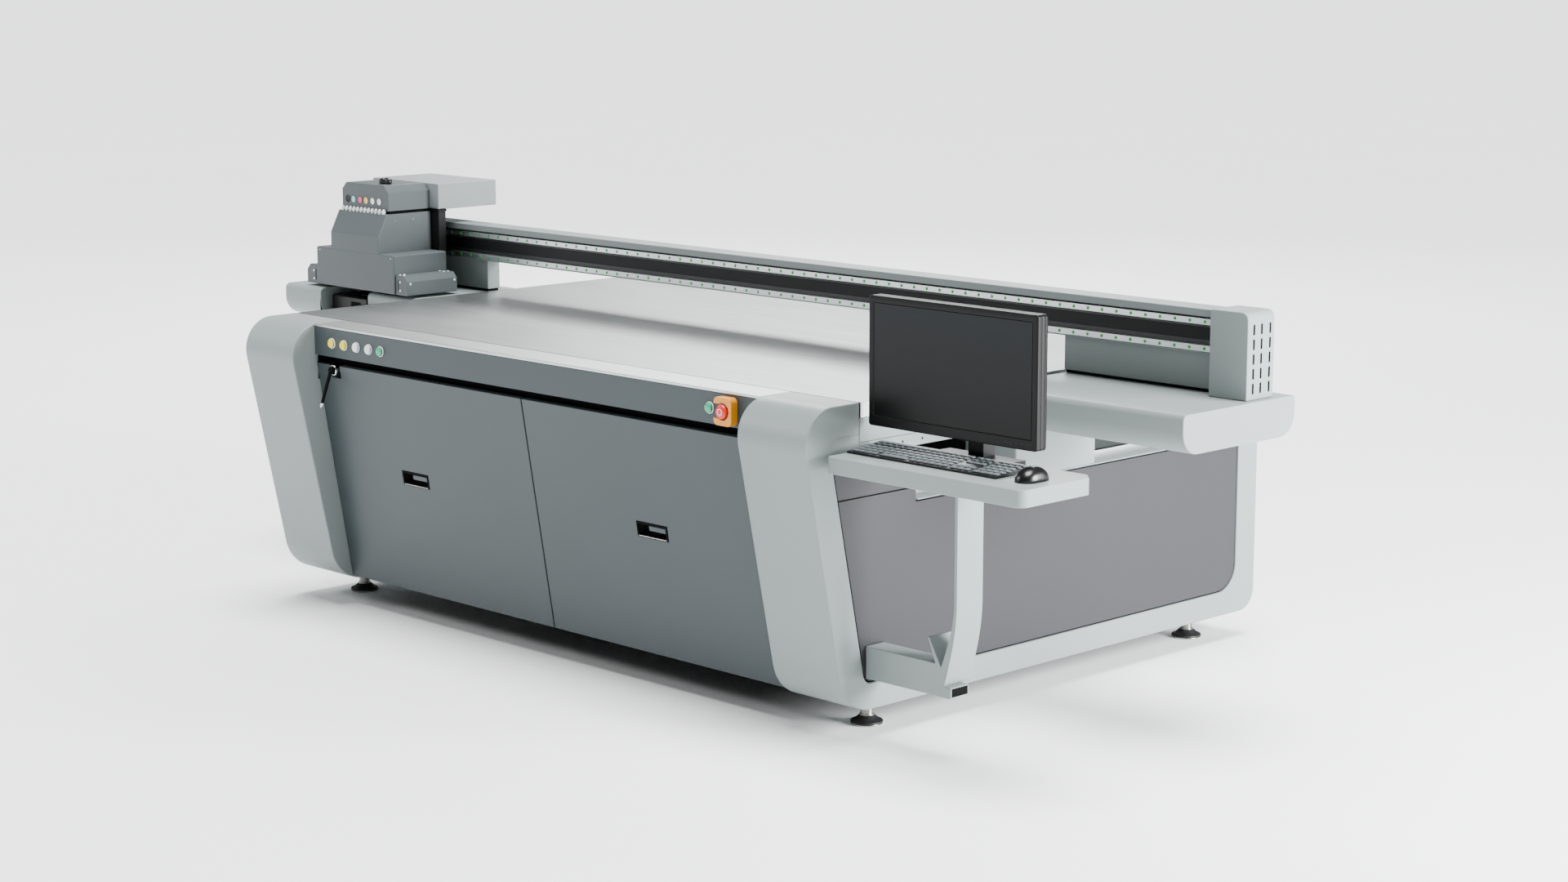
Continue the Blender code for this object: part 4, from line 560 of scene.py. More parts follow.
def paint_node(node, name):
    """Gives a frame node that stays as it is a finish of its own."""
    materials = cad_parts[node].data.materials
    materials.clear()
    materials.append(finish(name))


class Builder:
    """What every operator here shares: its piece goes into the scene, and it can be undone."""

    bl_options = {"REGISTER", "UNDO"}

    def execute(self, context):
        self.build(context.scene.printer_sizes)
        return {"FINISHED"}


# ---------------------------------------------------------------- frame, table and front

class PRINTER_OT_side_frames(Builder, bpy.types.Operator):
    """Painted side frames with their dark panels"""

    bl_idname = "printer.side_frames"
    bl_label = "Side Frames"

    def build(self, size):
        for name, sign in SIDES:
            low, high = corners(f"{name}_side_frame")
            panel_low, panel_high = corners(f"{name}_side_panel")
            bottom, sill = low[2], corners(f"{name}_side_rail")[0][2] - GAP
            line = outline(
                (deep(HEAD_BACK), TABLE_TOP), (deep(0), TABLE_TOP, PILLAR_ROUND),
                (pillar_front(bottom), bottom, 0.125), (high[1], bottom, 0.065), (high[1], sill),
                (high[1] - REAR_BAND, sill), (high[1] - REAR_BAND, BAND_TOP, 0.080),
                (pillar_front(BAND_TOP) + PILLAR_DEPTH, BAND_TOP, 0.030),
                (pillar_front(HEAD_UNDER) + PILLAR_DEPTH, HEAD_UNDER, 0.030),
                (deep(HEAD_BACK), HEAD_UNDER), soft=size.frame_edge + 0.0005)
            ring = slab(line, "x", low[0], high[0], size.frame_edge)
            ledge = box((low[0], deep(0.450), sill - 0.004), (high[0], high[1] - 0.090, sill), 0.0015)
            make(f"{name}_frame_cover", "stand", [
                (ring, "cover_powder_coat"), (ledge, "cover_powder_coat")],
                f"{name}_side_frame")
            seam, under, notch = size.seam, panel_high[2], deep(0.447)
            line = outline(
                (pillar_front(under) + PILLAR_DEPTH + seam, under),
                (pillar_front(BAND_TOP) + PILLAR_DEPTH + seam, BAND_TOP + seam, 0.030),
                (high[1] - REAR_BAND - seam, BAND_TOP + seam, 0.080),
                (high[1] - REAR_BAND - seam, sill - 0.004 - seam),
                (notch, sill - 0.004 - seam), (notch, under), soft=size.sheet_edge + 0.0003)
            outer = panel_high[0] if sign > 0 else panel_low[0]
            inner = outer - sign * 0.003
            sheet = slab(line, "x", *sorted((inner, outer)), size.sheet_edge, 2)
            # a black sheet just inside the panel, seen through the seam round it: painted shade of the seam
            back = outline((pillar_front(0.6) + 0.080, 0.620), (pillar_front(0.148) + 0.085, 0.148, 0.025),
                           (high[1] - 0.090, 0.148, 0.075), (high[1] - 0.090, 0.620))
            seam_shade_sheet = slab(back, "x", *sorted((inner - sign * 0.0035, inner - sign * 0.0015)), 0.0005, 1)
            # the black strip across the panel's upper front is painted shade of a narrow gap
            split_low, split_high = 0.6635, 0.6675  # the dark line across the upper front of the panel
            split = box((min(outer, outer + sign * 0.0006) - 0.0004, deep(0.143), split_low),
                        (max(outer, outer + sign * 0.0006), deep(0.446), split_high), 0.0002, 1)
            make(f"{name}_panel_sheet", "stand", [
                (sheet, "side_powder_coat"), (seam_shade_sheet, "black_gap"),
                (split, "black_gap")], f"{name}_side_panel")


class PRINTER_OT_table(Builder, bpy.types.Operator):
    """Ribbed aluminium table with the folded skirt below it and the sill in front"""

    bl_idname = "printer.table"
    bl_label = "Table"

    def build(self, size):
        low, high = corners("vacuum_bed")
        skirt_low, skirt_high = corners("table_skirt")
        make("table_plate", "stand", [
            (box(low + (0, 0.0036, 0), high, 0.0015), "ribbed_table_aluminium"),
            (box(low + (0.004, 0, 0), (high[0] - 0.004, low[1] + 0.0042, high[2] - 0.0010)),
             "black_gap")], "vacuum_bed")
        fold = skirt_low[2] + 0.0335
        walls = []
        wall = 0.006
        for bottom, top, back in ((fold + 0.0012, skirt_high[2], 0.0), (skirt_low[2], fold, 0.0008)):
            (x0, y0), (x1, y1) = skirt_low[:2] + back, skirt_high[:2] - back
            walls += [box((x0, y0, bottom), (x0 + wall, y1, top)), box((x1 - wall, y0, bottom), (x1, y1, top)),
                      box((x0 + wall, y0, bottom), (x1 - wall, y0 + wall, top)),
                      box((x0 + wall, y1 - wall, bottom), (x1 - wall, y1, top))]
        rib_edge = 1.0045  # the pillars' inner side, from the middle
        rib_front, rib_back = pillar_front(0.8) + 0.070, skirt_low[1] + 0.002
        for x0, x1 in ((skirt_low[0] + 0.0020, -rib_edge), (rib_edge, skirt_high[0] - 0.0020)):
            walls.append(box((x0, rib_front, skirt_low[2] - 0.0002), (x1, rib_back, HEAD_UNDER + 0.001)))
        # a black lining behind the break at the fold, so that the crease reads dark: painted shade
        crease_shade = box((skirt_low[0] + 0.004, skirt_low[1] + 0.004, fold - 0.004),
                     (skirt_high[0] - 0.004, skirt_high[1] - 0.004, fold + 0.006))
        bolt = facing(screw(0.006, 0.003), "right")
        bolts = copies(bolt, [(skirt_high[0] - 0.0035, deep(back), 0.796) for back in (0.391, 0.468)])
        make("skirt_sheets", "stand", [
            (joined(*walls), "cover_powder_coat"), (crease_shade, "black_gap"),
            (bolts, "black_anodised")], "table_skirt")
        low, high = corners("front_sill")
        make("sill_strip", "stand", [
            (box(low, (high[0], high[1] - 0.0018, high[2]), 0.0015), "brushed_sill_aluminium")], "front_sill")


class PRINTER_OT_control_strip(Builder, bpy.types.Operator):
    """Dark strip under the table's edge, with the plate behind it"""

    bl_idname = "printer.control_strip"
    bl_label = "Control Strip"

    def build(self, size):
        low, high = corners("control_strip")
        face = box((low[0], low[1], low[2] + 0.079), (high[0], low[1] + 0.012, high[2]), size.sheet_edge)
        # the plate behind the strip and its end ribs are black: painted shade of the deep gap under the strip
        gap_shade_backing = box((low[0], high[1] - 0.003, low[2]), high)
        ribs = [box((x - 0.0015, low[1] + 0.010, low[2]), (x + 0.0015, high[1], high[2]))
                for x in (low[0] + 0.0015, high[0] - 0.0015)]
        make("strip_sheet", "stand", [
            (face, "panel_powder_coat"), (joined(gap_shade_backing, *ribs), "black_gap")], "control_strip")


class PRINTER_OT_buttons(Builder, bpy.types.Operator):
    """Row of lit push buttons, each a domed lens in a pale bezel"""

    bl_idname = "printer.buttons"
    bl_label = "Push Buttons"

    def build(self, size):
        front = corners("control_strip")[0][1]
        row = (("yellow_button_1", "yellow_button_one", "yellow"),
               ("yellow_button_2", "yellow_button_two", "yellow"),
               ("white_button_3", "white_button_three", "white"),
               ("white_button_4", "white_button_four", "white"),
               ("green_button_5", "green_button_five", "green"),
               ("start_button", "start", "green"))
        for node, body, tint in row:
            low, high = corners(node)
            x, _, z = middle(node)
            reach = (high[2] - low[2]) / 2
            proud = front - low[1]
            bezel = [(reach * 0.88, 0.0002), (reach, 0.0002), (reach, 0.0026), (reach - 0.0006, 0.0036),
                     (reach - 0.0012, 0.0040), (reach * 0.89, 0.0038), (reach * 0.88, 0.0034)]
            # The lens starts above the strip by more than its travel, so that a press keeps it clear.
            lens = [(TIP, 0.0046), (reach * 0.85, 0.0046), (reach * 0.85, proud - 0.0042),
                    (reach * 0.81, proud - 0.0026), (reach * 0.70, proud - 0.0012),
                    (reach * 0.45, proud - 0.0003), (TIP, proud)]
            bezel = turned_front(bezel, (x, front, z), hollow=True)
            make(f"{node}_bezel", "stand", [(bezel, "white_polycarbonate")])
            lens = turned_front(lens, (x, front, z))
            make(f"{node}_lens", body, [(lens, f"{tint}_polycarbonate")], node)


class PRINTER_OT_stop_control(Builder, bpy.types.Operator):
    """Red mushroom stop head inside its yellow guard"""

    bl_idname = "printer.stop_control"
    bl_label = "Stop Control"

    def build(self, size):
        front = corners("control_strip")[0][1]
        low, high = corners("stop_button")
        x, _, z = middle("stop_button")
        reach, proud = (high[2] - low[2]) / 2, front - low[1]
        # The head, too, starts above the strip by more than its travel.
        head = [(TIP, 0.0066), (reach * 0.5, 0.0066), (reach * 0.5, proud - 0.016),
                (reach * 0.92, proud - 0.014), (reach, proud - 0.0105), (reach * 0.985, proud - 0.006),
                (reach * 0.86, proud - 0.002), (reach * 0.6, proud - 0.0004), (reach * 0.3, proud),
                (TIP, proud)]
        mark = [(reach * 0.34, proud - 0.0012), (reach * 0.36, proud), (reach * 0.46, proud - 0.0001),
                (reach * 0.48, proud - 0.0014)]
        collar = [(reach * 0.54, 0.0002), (reach * 0.80, 0.0002), (reach * 0.78, 0.0050),
                  (reach * 0.70, 0.0060), (reach * 0.54, 0.0060)]
        collar = turned_front(collar, (x, front, z), hollow=True)
        make("stop_collar", "stand", [(collar, "guard_yellow_abs")])
        head = turned_front(head, (x, front, z))
        mark = turned_front(mark, (x, front, z))
        make("stop_head", "stop", [
            (head, "stop_red_abs"), (mark, "white_polycarbonate")], "stop_button")

        low, high = corners("stop_guard")
        middle_z = (low[2] + high[2]) / 2
        well, opening, gap_angle = 0.023, 0.020, 1.05
        turn = np.linspace(math.pi - gap_angle, -math.pi + gap_angle, 33)
        inner = np.stack([x + well * np.cos(turn), middle_z + well * np.sin(turn)], axis=1)
        corner = 0.016
        arc = np.linspace(0, math.pi / 2, 9)
        near, far = corner * np.sin(arc), corner * np.cos(arc)
        left, right = low[0] + corner, high[0] - corner
        under, over = low[2] + corner, high[2] - corner
        rounds = np.concatenate([np.stack(pair, axis=1) for pair in (
            (left - far, under - near), (right + near, under - far),
            (right + far, over + near), (left - near, over + far))])
        line = np.concatenate([[(low[0], middle_z - opening)], rounds, [(low[0], middle_z + opening)], inner])
        guard = slab(line, "y", low[1], front - GAP, 0.0022)
        make("stop_guard_ring", "stand", [(guard, "guard_yellow_abs")], "stop_guard")


class PRINTER_OT_valve_lever(Builder, bpy.types.Operator):
    """Black lever on a chromed boss, hanging in front of the left panel"""

    bl_idname = "printer.valve_lever"
    bl_label = "Valve Lever"

    def build(self, size):
        low, high = corners("lever_boss")
        x, _, z = middle("lever_boss")
        reach = (high[2] - low[2]) / 2
        depth = high[1] - low[1]
        ring = [(reach * 0.70, 0.001), (reach, 0.001), (reach, depth - 0.0025),
                (reach - 0.0020, depth - 0.0003), (reach - 0.0036, depth), (reach * 0.70, depth - 0.0030)]
        ring = turned_front(ring, (x, high[1], z), hollow=True)
        make("boss_ring", "stand", [(ring, "polished_chrome")], "lever_boss")

        low, high = corners("valve_lever")
        back = high[1]
        hub = [(0.0126, 0.0002), (0.0126, 0.0060), (0.0112, 0.0080), (0.0060, 0.0088), (TIP, 0.0090)]
        hub = turned_front(hub, (x, back, z))
        run = np.linspace(0, 1, 17)
        length, drop = z - low[2], back - 0.0045 - low[1]
        path_z = z - run * length
        path_y = back - 0.0062 - (drop - 0.0052) * run
        thick = 0.0058 * (1 - 0.25 * run)
        wide = 0.0060 - 0.0008 * run
        around = np.linspace(0, 2 * math.pi, 16, endpoint=False)
        across = np.sign(np.cos(around)) * np.abs(np.cos(around)) ** 0.6
        through = np.sign(np.sin(around)) * np.abs(np.sin(around)) ** 0.6
        end = np.sqrt(np.clip(1 - np.clip((run - 0.93) / 0.07, 0, 1) ** 2, 0.02, 1))
        rings = np.stack([x + (wide * end)[:, None] * across,
                          path_y[:, None] + (thick * end)[:, None] * through * 0.8,
                          np.repeat(path_z[:, None], 16, axis=1)], axis=-1)
        pale_from = 14  # the last rows are the pale tip
        grip, tip = skin(rings[:pale_from + 1]), skin(rings[pale_from:])
        make("lever_grip", "lever", [
            (joined(hub, grip), "black_gap"), (tip, "white_polycarbonate")], "valve_lever")


class PRINTER_OT_front_panels(Builder, bpy.types.Operator):
    """Two leaning front panels of folded sheet, with a flush handle in each"""

    bl_idname = "printer.front_panels"
    bl_label = "Front Panels"

    def build(self, size):
        for name in ("left", "right"):
            low, high = corners(f"{name}_front_panel")
            grip_low, grip_high = corners(f"{name}_flush_handle")
            bottom, top = low[2], high[2]
            across = [low[0], grip_low[0] - GAP, grip_high[0] + GAP, high[0]]
            down = [bottom, grip_low[2] + 0.0030, grip_high[2] - 0.0030, top]
            notch = 0.025
            if name == "left":
                lever = middle("lever_boss")
                across = [low[0], lever[0] - notch, lever[0] + notch, *across[1:]]
                down = [*down[:3], lever[2] - notch, top]
            columns, rows = len(across) - 1, len(down) - 1
            keep = np.ones((rows, columns), bool)
            keep[1, columns - 2] = False
            if name == "left":
                keep[3, 1] = False
            sheet = sheet_cells(across, down, keep, door_front)
            make(f"{name}_panel_face", f"{name}_panel", [
                (sheet, "panel_powder_coat")], f"{name}_front_panel", thick=0.018, bevel=0.0022)
            x, _, z = middle(f"{name}_flush_handle")
            front = door_front(z)
            half_x, half_z = (grip_high[0] - grip_low[0]) / 2, 0.0227
            rim, depth = 0.0014, 0.026
            rings = np.stack([rectangle(by - half_x, by - half_z, half_x - by, half_z - by, 0.003)
                              for by in (0, 0, 0.001, 0.006, 0.006, 0.007)])
            heights = [depth, 0.0, -rim, -rim, 0.0, depth - 0.004]
            cup = skin(placed(rings, heights, "y"))
            flap = box((-half_x * 0.20, 0.0005, -half_z + 0.0220),
                       (half_x - 0.0085, 0.0035, half_z - 0.0085), 0.0014)
            ledge = box((-half_x + 0.0065, -rim - 0.0003, -half_z + 0.0020),
                        (half_x - 0.0065, 0.0010, -half_z + 0.0042), 0.0006)
            parts = ((cup, "black_gap"), (flap, "panel_powder_coat"), (ledge, "turned_steel"))
            make(f"{name}_handle_cup", f"{name}_panel", [
                (copies(tipped(shape, DOOR_ANGLE, (0, 0, 0)), [(x, front, z)]), paint)
                for shape, paint in parts], f"{name}_flush_handle")


class PRINTER_OT_feet(Builder, bpy.types.Operator):
    """Levelling feet: a rubber disc and cone with a steel stud and nut"""

    bl_idname = "printer.feet"
    bl_label = "Levelling Feet"

    def build(self, size):
        for name in ("front_left", "front_right", "rear_left", "rear_right"):
            _, high = corners(f"{name}_foot")
            x, y, _ = middle(f"{name}_foot")
            disc = [(0.0445, 0.0042), (0.045, 0.0050), (0.045, 0.0090), (0.0435, 0.0110), (0.036, 0.0130),
                    (0.029, 0.0185), (0.0235, 0.0238), (0.0205, 0.0262), (TIP, 0.0262)]
            rim = [(TIP, 0.0), (0.0435, 0.0), (0.0450, 0.0012), (0.0450, 0.0040), (0.0440, 0.0043),
                   (TIP, 0.0043)]
            washer = [(0.0190, 0.0255), (0.0205, 0.0262), (0.0205, 0.0282), (0.0190, 0.0290), (TIP, 0.0290)]
            thread = np.linspace(0.0288, 0.0560, 43)
            stud = np.stack([0.0172 + 0.0009 * np.abs((np.arange(43) % 4) - 2) / 2, thread], axis=1)
            nut_reach = 0.0195  # from the middle to a corner of the hexagon
            nut = outline(*[(x + nut_reach * math.cos(a), y + nut_reach * math.sin(a))
                            for a in np.arange(6) * math.pi / 3], soft=0.002, steps=3)
            nut = slab(nut, "z", 0.0555, high[2], 0.0015)
            stem = turned([*stud.tolist(), (TIP, 0.0560)], (x, y, 0), 24)
            make(f"{name}_foot_disc", "stand", [
                (turned(disc, (x, y, 0)), "moulded_foot_rubber"),
                (joined(turned(rim, (x, y, 0)), turned(washer, (x, y, 0)), stem, nut), "turned_steel")],
                f"{name}_foot")


# ---------------------------------------------------------------- operator's place

class PRINTER_OT_shelf(Builder, bpy.types.Operator):
    """Folded shelf on its post and arm, at the machine's right"""

    bl_idname = "printer.shelf"
    bl_label = "Shelf"

    def build(self, size):
        low, high = corners("operator_shelf")
        paint = "cover_powder_coat"
        line = outline((low[0], low[1], 0.015), (high[0], low[1], 0.030), (high[0], high[1] - 0.030),
                       (high[0] - 0.030, high[1]), (low[0], high[1]), soft=0.0035)
        make("shelf_tray", "stand", [
            (slab(line, "z", low[2], high[2], 0.003), paint)], "operator_shelf")

        low, high = corners("shelf_post")
        share = np.linspace(0, 1, 25)
        inwards = 1 - np.cos(share * math.pi / 2)
        out, foot, bend, thick = high[0], low[2], 0.230, 0.010
        tip, vertex = out - 0.050, (out - 0.054, foot + 0.050)
        outer = np.stack([out - 0.042 * inwards, foot + bend * (1 - share)], axis=1)
        inner = np.stack([out - thick - (out - thick - vertex[0]) * inwards,
                          vertex[1] + (foot + bend - vertex[1]) * (1 - share)], axis=1)
        low_post = low[0]
        prong_rise = 0.124
        prong = np.array([(tip, foot), (low[0], foot + prong_rise), (low[0] + 0.005, foot + prong_rise)])
        line = np.concatenate([[(out - thick, high[2]), (out, high[2])], outer, prong, inner[::-1]])
        make("post_bar", "stand", [
            (slab(line, "y", low[1], high[1], 0.0012), paint)], "shelf_post")

        low, high = corners("shelf_arm")
        lean = (low_post - tip) / prong_rise
        line = outline((low[0], low[2]), (high[0], low[2]), (high[0], foot - GAP), (tip - GAP, foot - GAP),
                       (tip - GAP + lean * (high[2] - foot), high[2]), (low[0], high[2]), soft=0.0022)
        tube_skin = slab(line, "y", low[1], high[1], 0.0020)
        # a black plate in the tube's open end: painted shade of its inside
        mouth_shade = box((high[0] - 0.002, low[1] + 0.004, low[2] + 0.004),
                    (high[0] + 0.0004, high[1] - 0.004, foot - 0.003), 0.0003, 1)
        edge = corners("right_side_panel")[1][0]
        ring_out = rectangle(low[1] - 0.0028, low[2] - 0.0028, high[1] + 0.0028, high[2] + 0.0028, 0.007)
        gasket = slab(ring_out, "x", edge - 0.004, edge + 0.003, 0.0012)
        make("arm_tube", "stand", [
            (tube_skin, paint), (mouth_shade, "black_gap"), (gasket, "moulded_foot_rubber")], "shelf_arm")


class PRINTER_OT_monitor(Builder, bpy.types.Operator):
    """Wide monitor in a black moulded case, and the stand under it"""

    bl_idname = "printer.monitor"
    bl_label = "Monitor"

    def build(self, size):
        low, high = corners("monitor_housing")
        glass_low, glass_high = corners("monitor_screen")
        front = low[1]

        def upright(least, most, margin, radius):
            return rectangle(least[0] + margin, least[2] + margin, most[0] - margin, most[2] - margin, radius)

        case = upright(low, high, 0, 0.008)
        hole = upright(glass_low, glass_high, -GAP, 0.002)
        bevel = upright(glass_low, glass_high, -0.003, 0.003)
        groove = upright(low, high, 0.0016, 0.007)
        lean = upright(low, high, 0.010, 0.008)
        soft = inset(case, 0.0016)
        rings = np.stack([hole, hole, bevel, soft, case, case, groove, groove, case, case, groove, groove, case,
                          case, lean])
        heights = np.array([0.006, 0.0012, 0.0, 0.0, 0.0016, 0.0130, 0.0135, 0.0155, 0.0160, 0.0270, 0.0275,
                            0.0295, 0.0300, 0.036, 0.045])
        shell = skin(placed(rings, front + heights, "y"))
        chin = low[2] + (glass_low[2] - low[2]) * 0.5
        keys = copies(box((-0.004, -0.0004, -0.0015), (0.004, 0.002, 0.0015), 0.0006, 1),
                      [(high[0] - 0.030 - 0.018 * index, front, chin) for index in range(5)])
        # a lighter strip along the case's lower edge: a painted highlight on its bevel
        bright = box((low[0] + 0.010, front, low[2] + 0.0012),
                     (high[0] - 0.010, front + 0.002, low[2] + 0.0030), 0.0005, 1)
        pane = box(glass_low, glass_high, 0.0004)
        make("monitor_case", "monitor", [
            (shell, "monitor_case_abs"), (joined(keys, bright), "monitor_trim_abs")],
            "monitor_housing")
        make("monitor_pane", "monitor", [(pane, "dark_screen")], "monitor_screen")

        paint_node("monitor_stand", "monitor_case_abs")


class PRINTER_OT_keyboard(Builder, bpy.types.Operator):
    """Keyboard with its three blocks of keys, and the mouse beside it"""

    bl_idname = "printer.keyboard"
    bl_label = "Keyboard and Mouse"

    def build(self, size):
        low, high = corners("keyboard")
        rise, run = 0.012, high[1] - low[1]
        slope = rise / run
        profile = outline((low[1], low[2], 0.0012), (high[1], low[2], 0.0012),
                          (high[1], high[2] - 0.0035, 0.002), (low[1], low[2] + 0.0055, 0.002), steps=3)
        tray = slab(profile, "x", low[0], high[0], 0.0010)
        pitch = size.key_pitch
        rows = 6
        step = (run - 0.016) / rows
        blocks = ((low[0] + 0.008, 15), (low[0] + 0.0085 + 15.35 * pitch, 3),
                  (low[0] + 0.009 + 18.7 * pitch, 4))  # where each block starts, and its columns
        places = []
        for start, count in blocks:
            for row in range(rows):
                if count == 3 and row == 2:
                    continue
                y = low[1] + 0.008 + step * (row + 0.5)
                for column in range(count):
                    if row == 0 and count == 15 and 3 < column < 9:
                        continue
                    places.append((start + pitch * (column + 0.5), y, low[2] + 0.0052 + slope * (y - low[1])))
        half_x, half_y = pitch * 0.40, step * 0.385
        cap_low = rectangle(-half_x, -half_y, half_x, half_y, 0.001, 1)
        cap_high = rectangle(-half_x + 0.0017, -half_y + 0.0015, half_x - 0.0017, half_y - 0.0015, 0.001, 1)
        rings, cap_heights = np.stack([cap_low, cap_low, cap_high]), [0.0, 0.0012, 0.0036]
        cap = skin(placed(rings, cap_heights, "z"))
        space = skin(placed(rings * np.array([5.6, 1.0]), cap_heights, "z"))
        bar = copies(space, [(blocks[0][0] + pitch * 6.5, low[1] + 0.008 + step * 0.5,
                              low[2] + 0.0052 + slope * step)])
        make("keyboard_tray", "stand", [
            (tray, "black_moulded_abs"), (joined(copies(cap, places), bar), "keycap_abs")], "keyboard")

        low, high = corners("mouse")
        centre = middle("mouse")
        half = (high - low) / 2
        along = np.linspace(-1, 1, 33)
        around = np.linspace(0, math.pi, 25)
        width = half[0] * np.sqrt(np.clip(1 - np.abs(along) ** 3.2, 0.0004, 1))
        dome = np.clip(1 - np.abs(along) ** 2.6, 0.0004, 1) ** 0.5
        hump = (high[2] - low[2]) * dome * (1 - 0.10 * (along - 0.2) ** 2)
        arch = np.stack([
            centre[0] + width[:, None] * np.cos(around),
            np.repeat((centre[1] + half[1] * along)[:, None], 25, axis=1),
            low[2] + hump[:, None] * np.abs(np.sin(around)) ** 0.75], axis=-1)
        shell = skin(arch)
        make("mouse_shell", "pointer", [(shell, "gloss_black_abs")], "mouse")


# ---------------------------------------------------------------- gantry

class PRINTER_OT_gantry_beam(Builder, bpy.types.Operator):
    """Boxed beam with its fascia, timing belt and two linear guides with screw caps"""

    bl_idname = "printer.gantry_beam"
    bl_label = "Gantry Beam"

    def build(self, size):
        low, high = corners("gantry_beam")
        front = low[1] + 0.008
        ends = low[0], high[0]
        body = slab(rectangle(front, low[2], high[1], high[2] - 0.0020, 0.003), "x", *ends, 0.0015)
        fascia = rectangle(low[1] - 0.0078, high[2] - 0.0210, high[1] - 0.002, high[2], 0.0025)
        fascia = slab(fascia, "x", *ends, 0.0015)
        belt_low, belt_high = 1.0605, 1.0945
        belt = rectangle(front - 0.0028, belt_low, front + 0.002, belt_high, 0.001)
        belt = slab(belt, "x", ends[0] + 0.01, ends[1] - 0.01)
        sole = rectangle(front - 0.0040, low[2] + 0.0002, front + 0.002, low[2] + 0.0038, 0.001)
        sole = slab(sole, "x", *ends)
        make("beam_box", "gantry", [
            (body, "groove_anodised"), (fascia, "fascia_powder_coat"),
            (belt, "belt_rubber"), (sole, "cover_powder_coat")], "gantry_beam")
        for name in ("upper", "lower"):
            low, high = corners(f"{name}_guide_rail")
            mid = (low[2] + high[2]) / 2
            half = (high[2] - low[2]) / 2
            profile = np.array([(high[1], mid - half), (high[1], mid + half), (low[1] + 0.0055, mid + half),
                                (low[1] + 0.0035, mid + half - 0.0022), (low[1] + 0.0015, mid + half - 0.0008),
                                (low[1], mid + half - 0.0022), (low[1], mid - half + 0.0022),
                                (low[1] + 0.0015, mid - half + 0.0008), (low[1] + 0.0035, mid - half + 0.0022),
                                (low[1] + 0.0055, mid - half)])
            rail = slab(profile[::-1], "x", low[0], high[0], 0.0006, 1)
            count = int((high[0] - low[0] - 0.02) / size.cap_pitch)
            first = (low[0] + high[0]) / 2 - size.cap_pitch * (count - 1) / 2
            places = [(first + size.cap_pitch * index, low[1] - 0.0002, mid) for index in range(count)]
            cap = facing(screw(size.cap_radius, 0.0010, 12), "front")
            make(f"{name}_guide", "gantry", [
                (rail, "ground_rail_steel"), (copies(cap, places), "cap_green_plastic")],
                f"{name}_guide_rail")


class PRINTER_OT_gantry_ends(Builder, bpy.types.Operator):
    """Housings, vented caps, beam supports and legs at both ends of the gantry"""

    bl_idname = "printer.gantry_ends"
    bl_label = "Gantry Ends"

    def build(self, size):
        paint = "cover_powder_coat"
        for name, sign in SIDES:
            low, high = corners(f"{name}_gantry_housing")
            line = outline((low[1], high[2], 0.018), (low[1], low[2], 0.062), (high[1], low[2], 0.062),
                           (high[1], high[2], 0.010))
            if sign > 0:
                shell = slab(line, "x", low[0], high[0], size.cover_edge)
                shells = [(shell, paint)]
            else:
                recess = deep(0.679) + 0.270
                cut_low, cut_high, back = -1.764, -1.553, deep(0.722)
                floor = 0.835
                outer = slab(line, "x", low[0], cut_low, size.cover_edge)
                inner_line = outline((back, high[2], 0.018), (back, low[2], 0.040), (high[1], low[2], 0.062),
                                     (high[1], high[2], 0.010))
                inner = slab(inner_line, "x", cut_high, high[0], size.cover_edge)
                floor_line = outline((low[1], floor, 0.004), (low[1], low[2], 0.022), (high[1], low[2], 0.062),
                                     (high[1], high[2], 0.010), (recess, high[2]), (recess, floor, 0.004),
                                     soft=0.002)
                base = slab(floor_line, "x", cut_low - 0.002, cut_high + 0.002, 0.0015)
                shells = [(outer, paint), (inner, paint), (base, paint)]
            make(f"{name}_housing_cover", "gantry", shells, f"{name}_gantry_housing")

            low, high = corners(f"{name}_end_cap")
            x_out, x_in = (high[0], low[0]) if sign > 0 else (low[0], high[0])
            line = outline((x_in, low[2], 0.004), (x_out, low[2], 0.004), (x_out, high[2], 0.022),
                           (x_in, high[2], 0.006))
            cap = slab(line, "y", low[1], high[1], 0.0035)
            # black slabs set flush where the vent slots are, not cut through: painted shade of the slots
            slots = [(x_out - sign * 0.0018, low[1] + depth, low[2] + 0.0310 + 0.0392 * row)
                     for depth in (0.027, 0.060, 0.097) for row in range(5)]
            vent_shade = slab(rectangle(-0.0042, -0.0150, 0.0042, 0.0150, 0.0040), "x", -0.0018, 0.0021, 0.0004, 1)
            make(f"{name}_cap_cover", "gantry", [
                (cap, paint), (copies(vent_shade, slots), "black_gap")], f"{name}_end_cap")

            low, high = corners(f"{name}_beam_support")
            body = box(low + (0, 0, 0.008), high, size.cover_edge)
            # a black band round the support's foot: painted shadow line where it stands
            foot_shadow = box(low + (0.004, 0.004, 0), (high[0] - 0.004, high[1] - 0.004, low[2] + 0.012))
            make(f"{name}_support_cover", "gantry", [
                (body, paint), (foot_shadow, "black_gap")], f"{name}_beam_support")

            low, high = corners(f"{name}_gantry_leg")
            make(f"{name}_leg_cover", "gantry", [
                (box(low, high, 0.006, 3), paint)], f"{name}_gantry_leg")


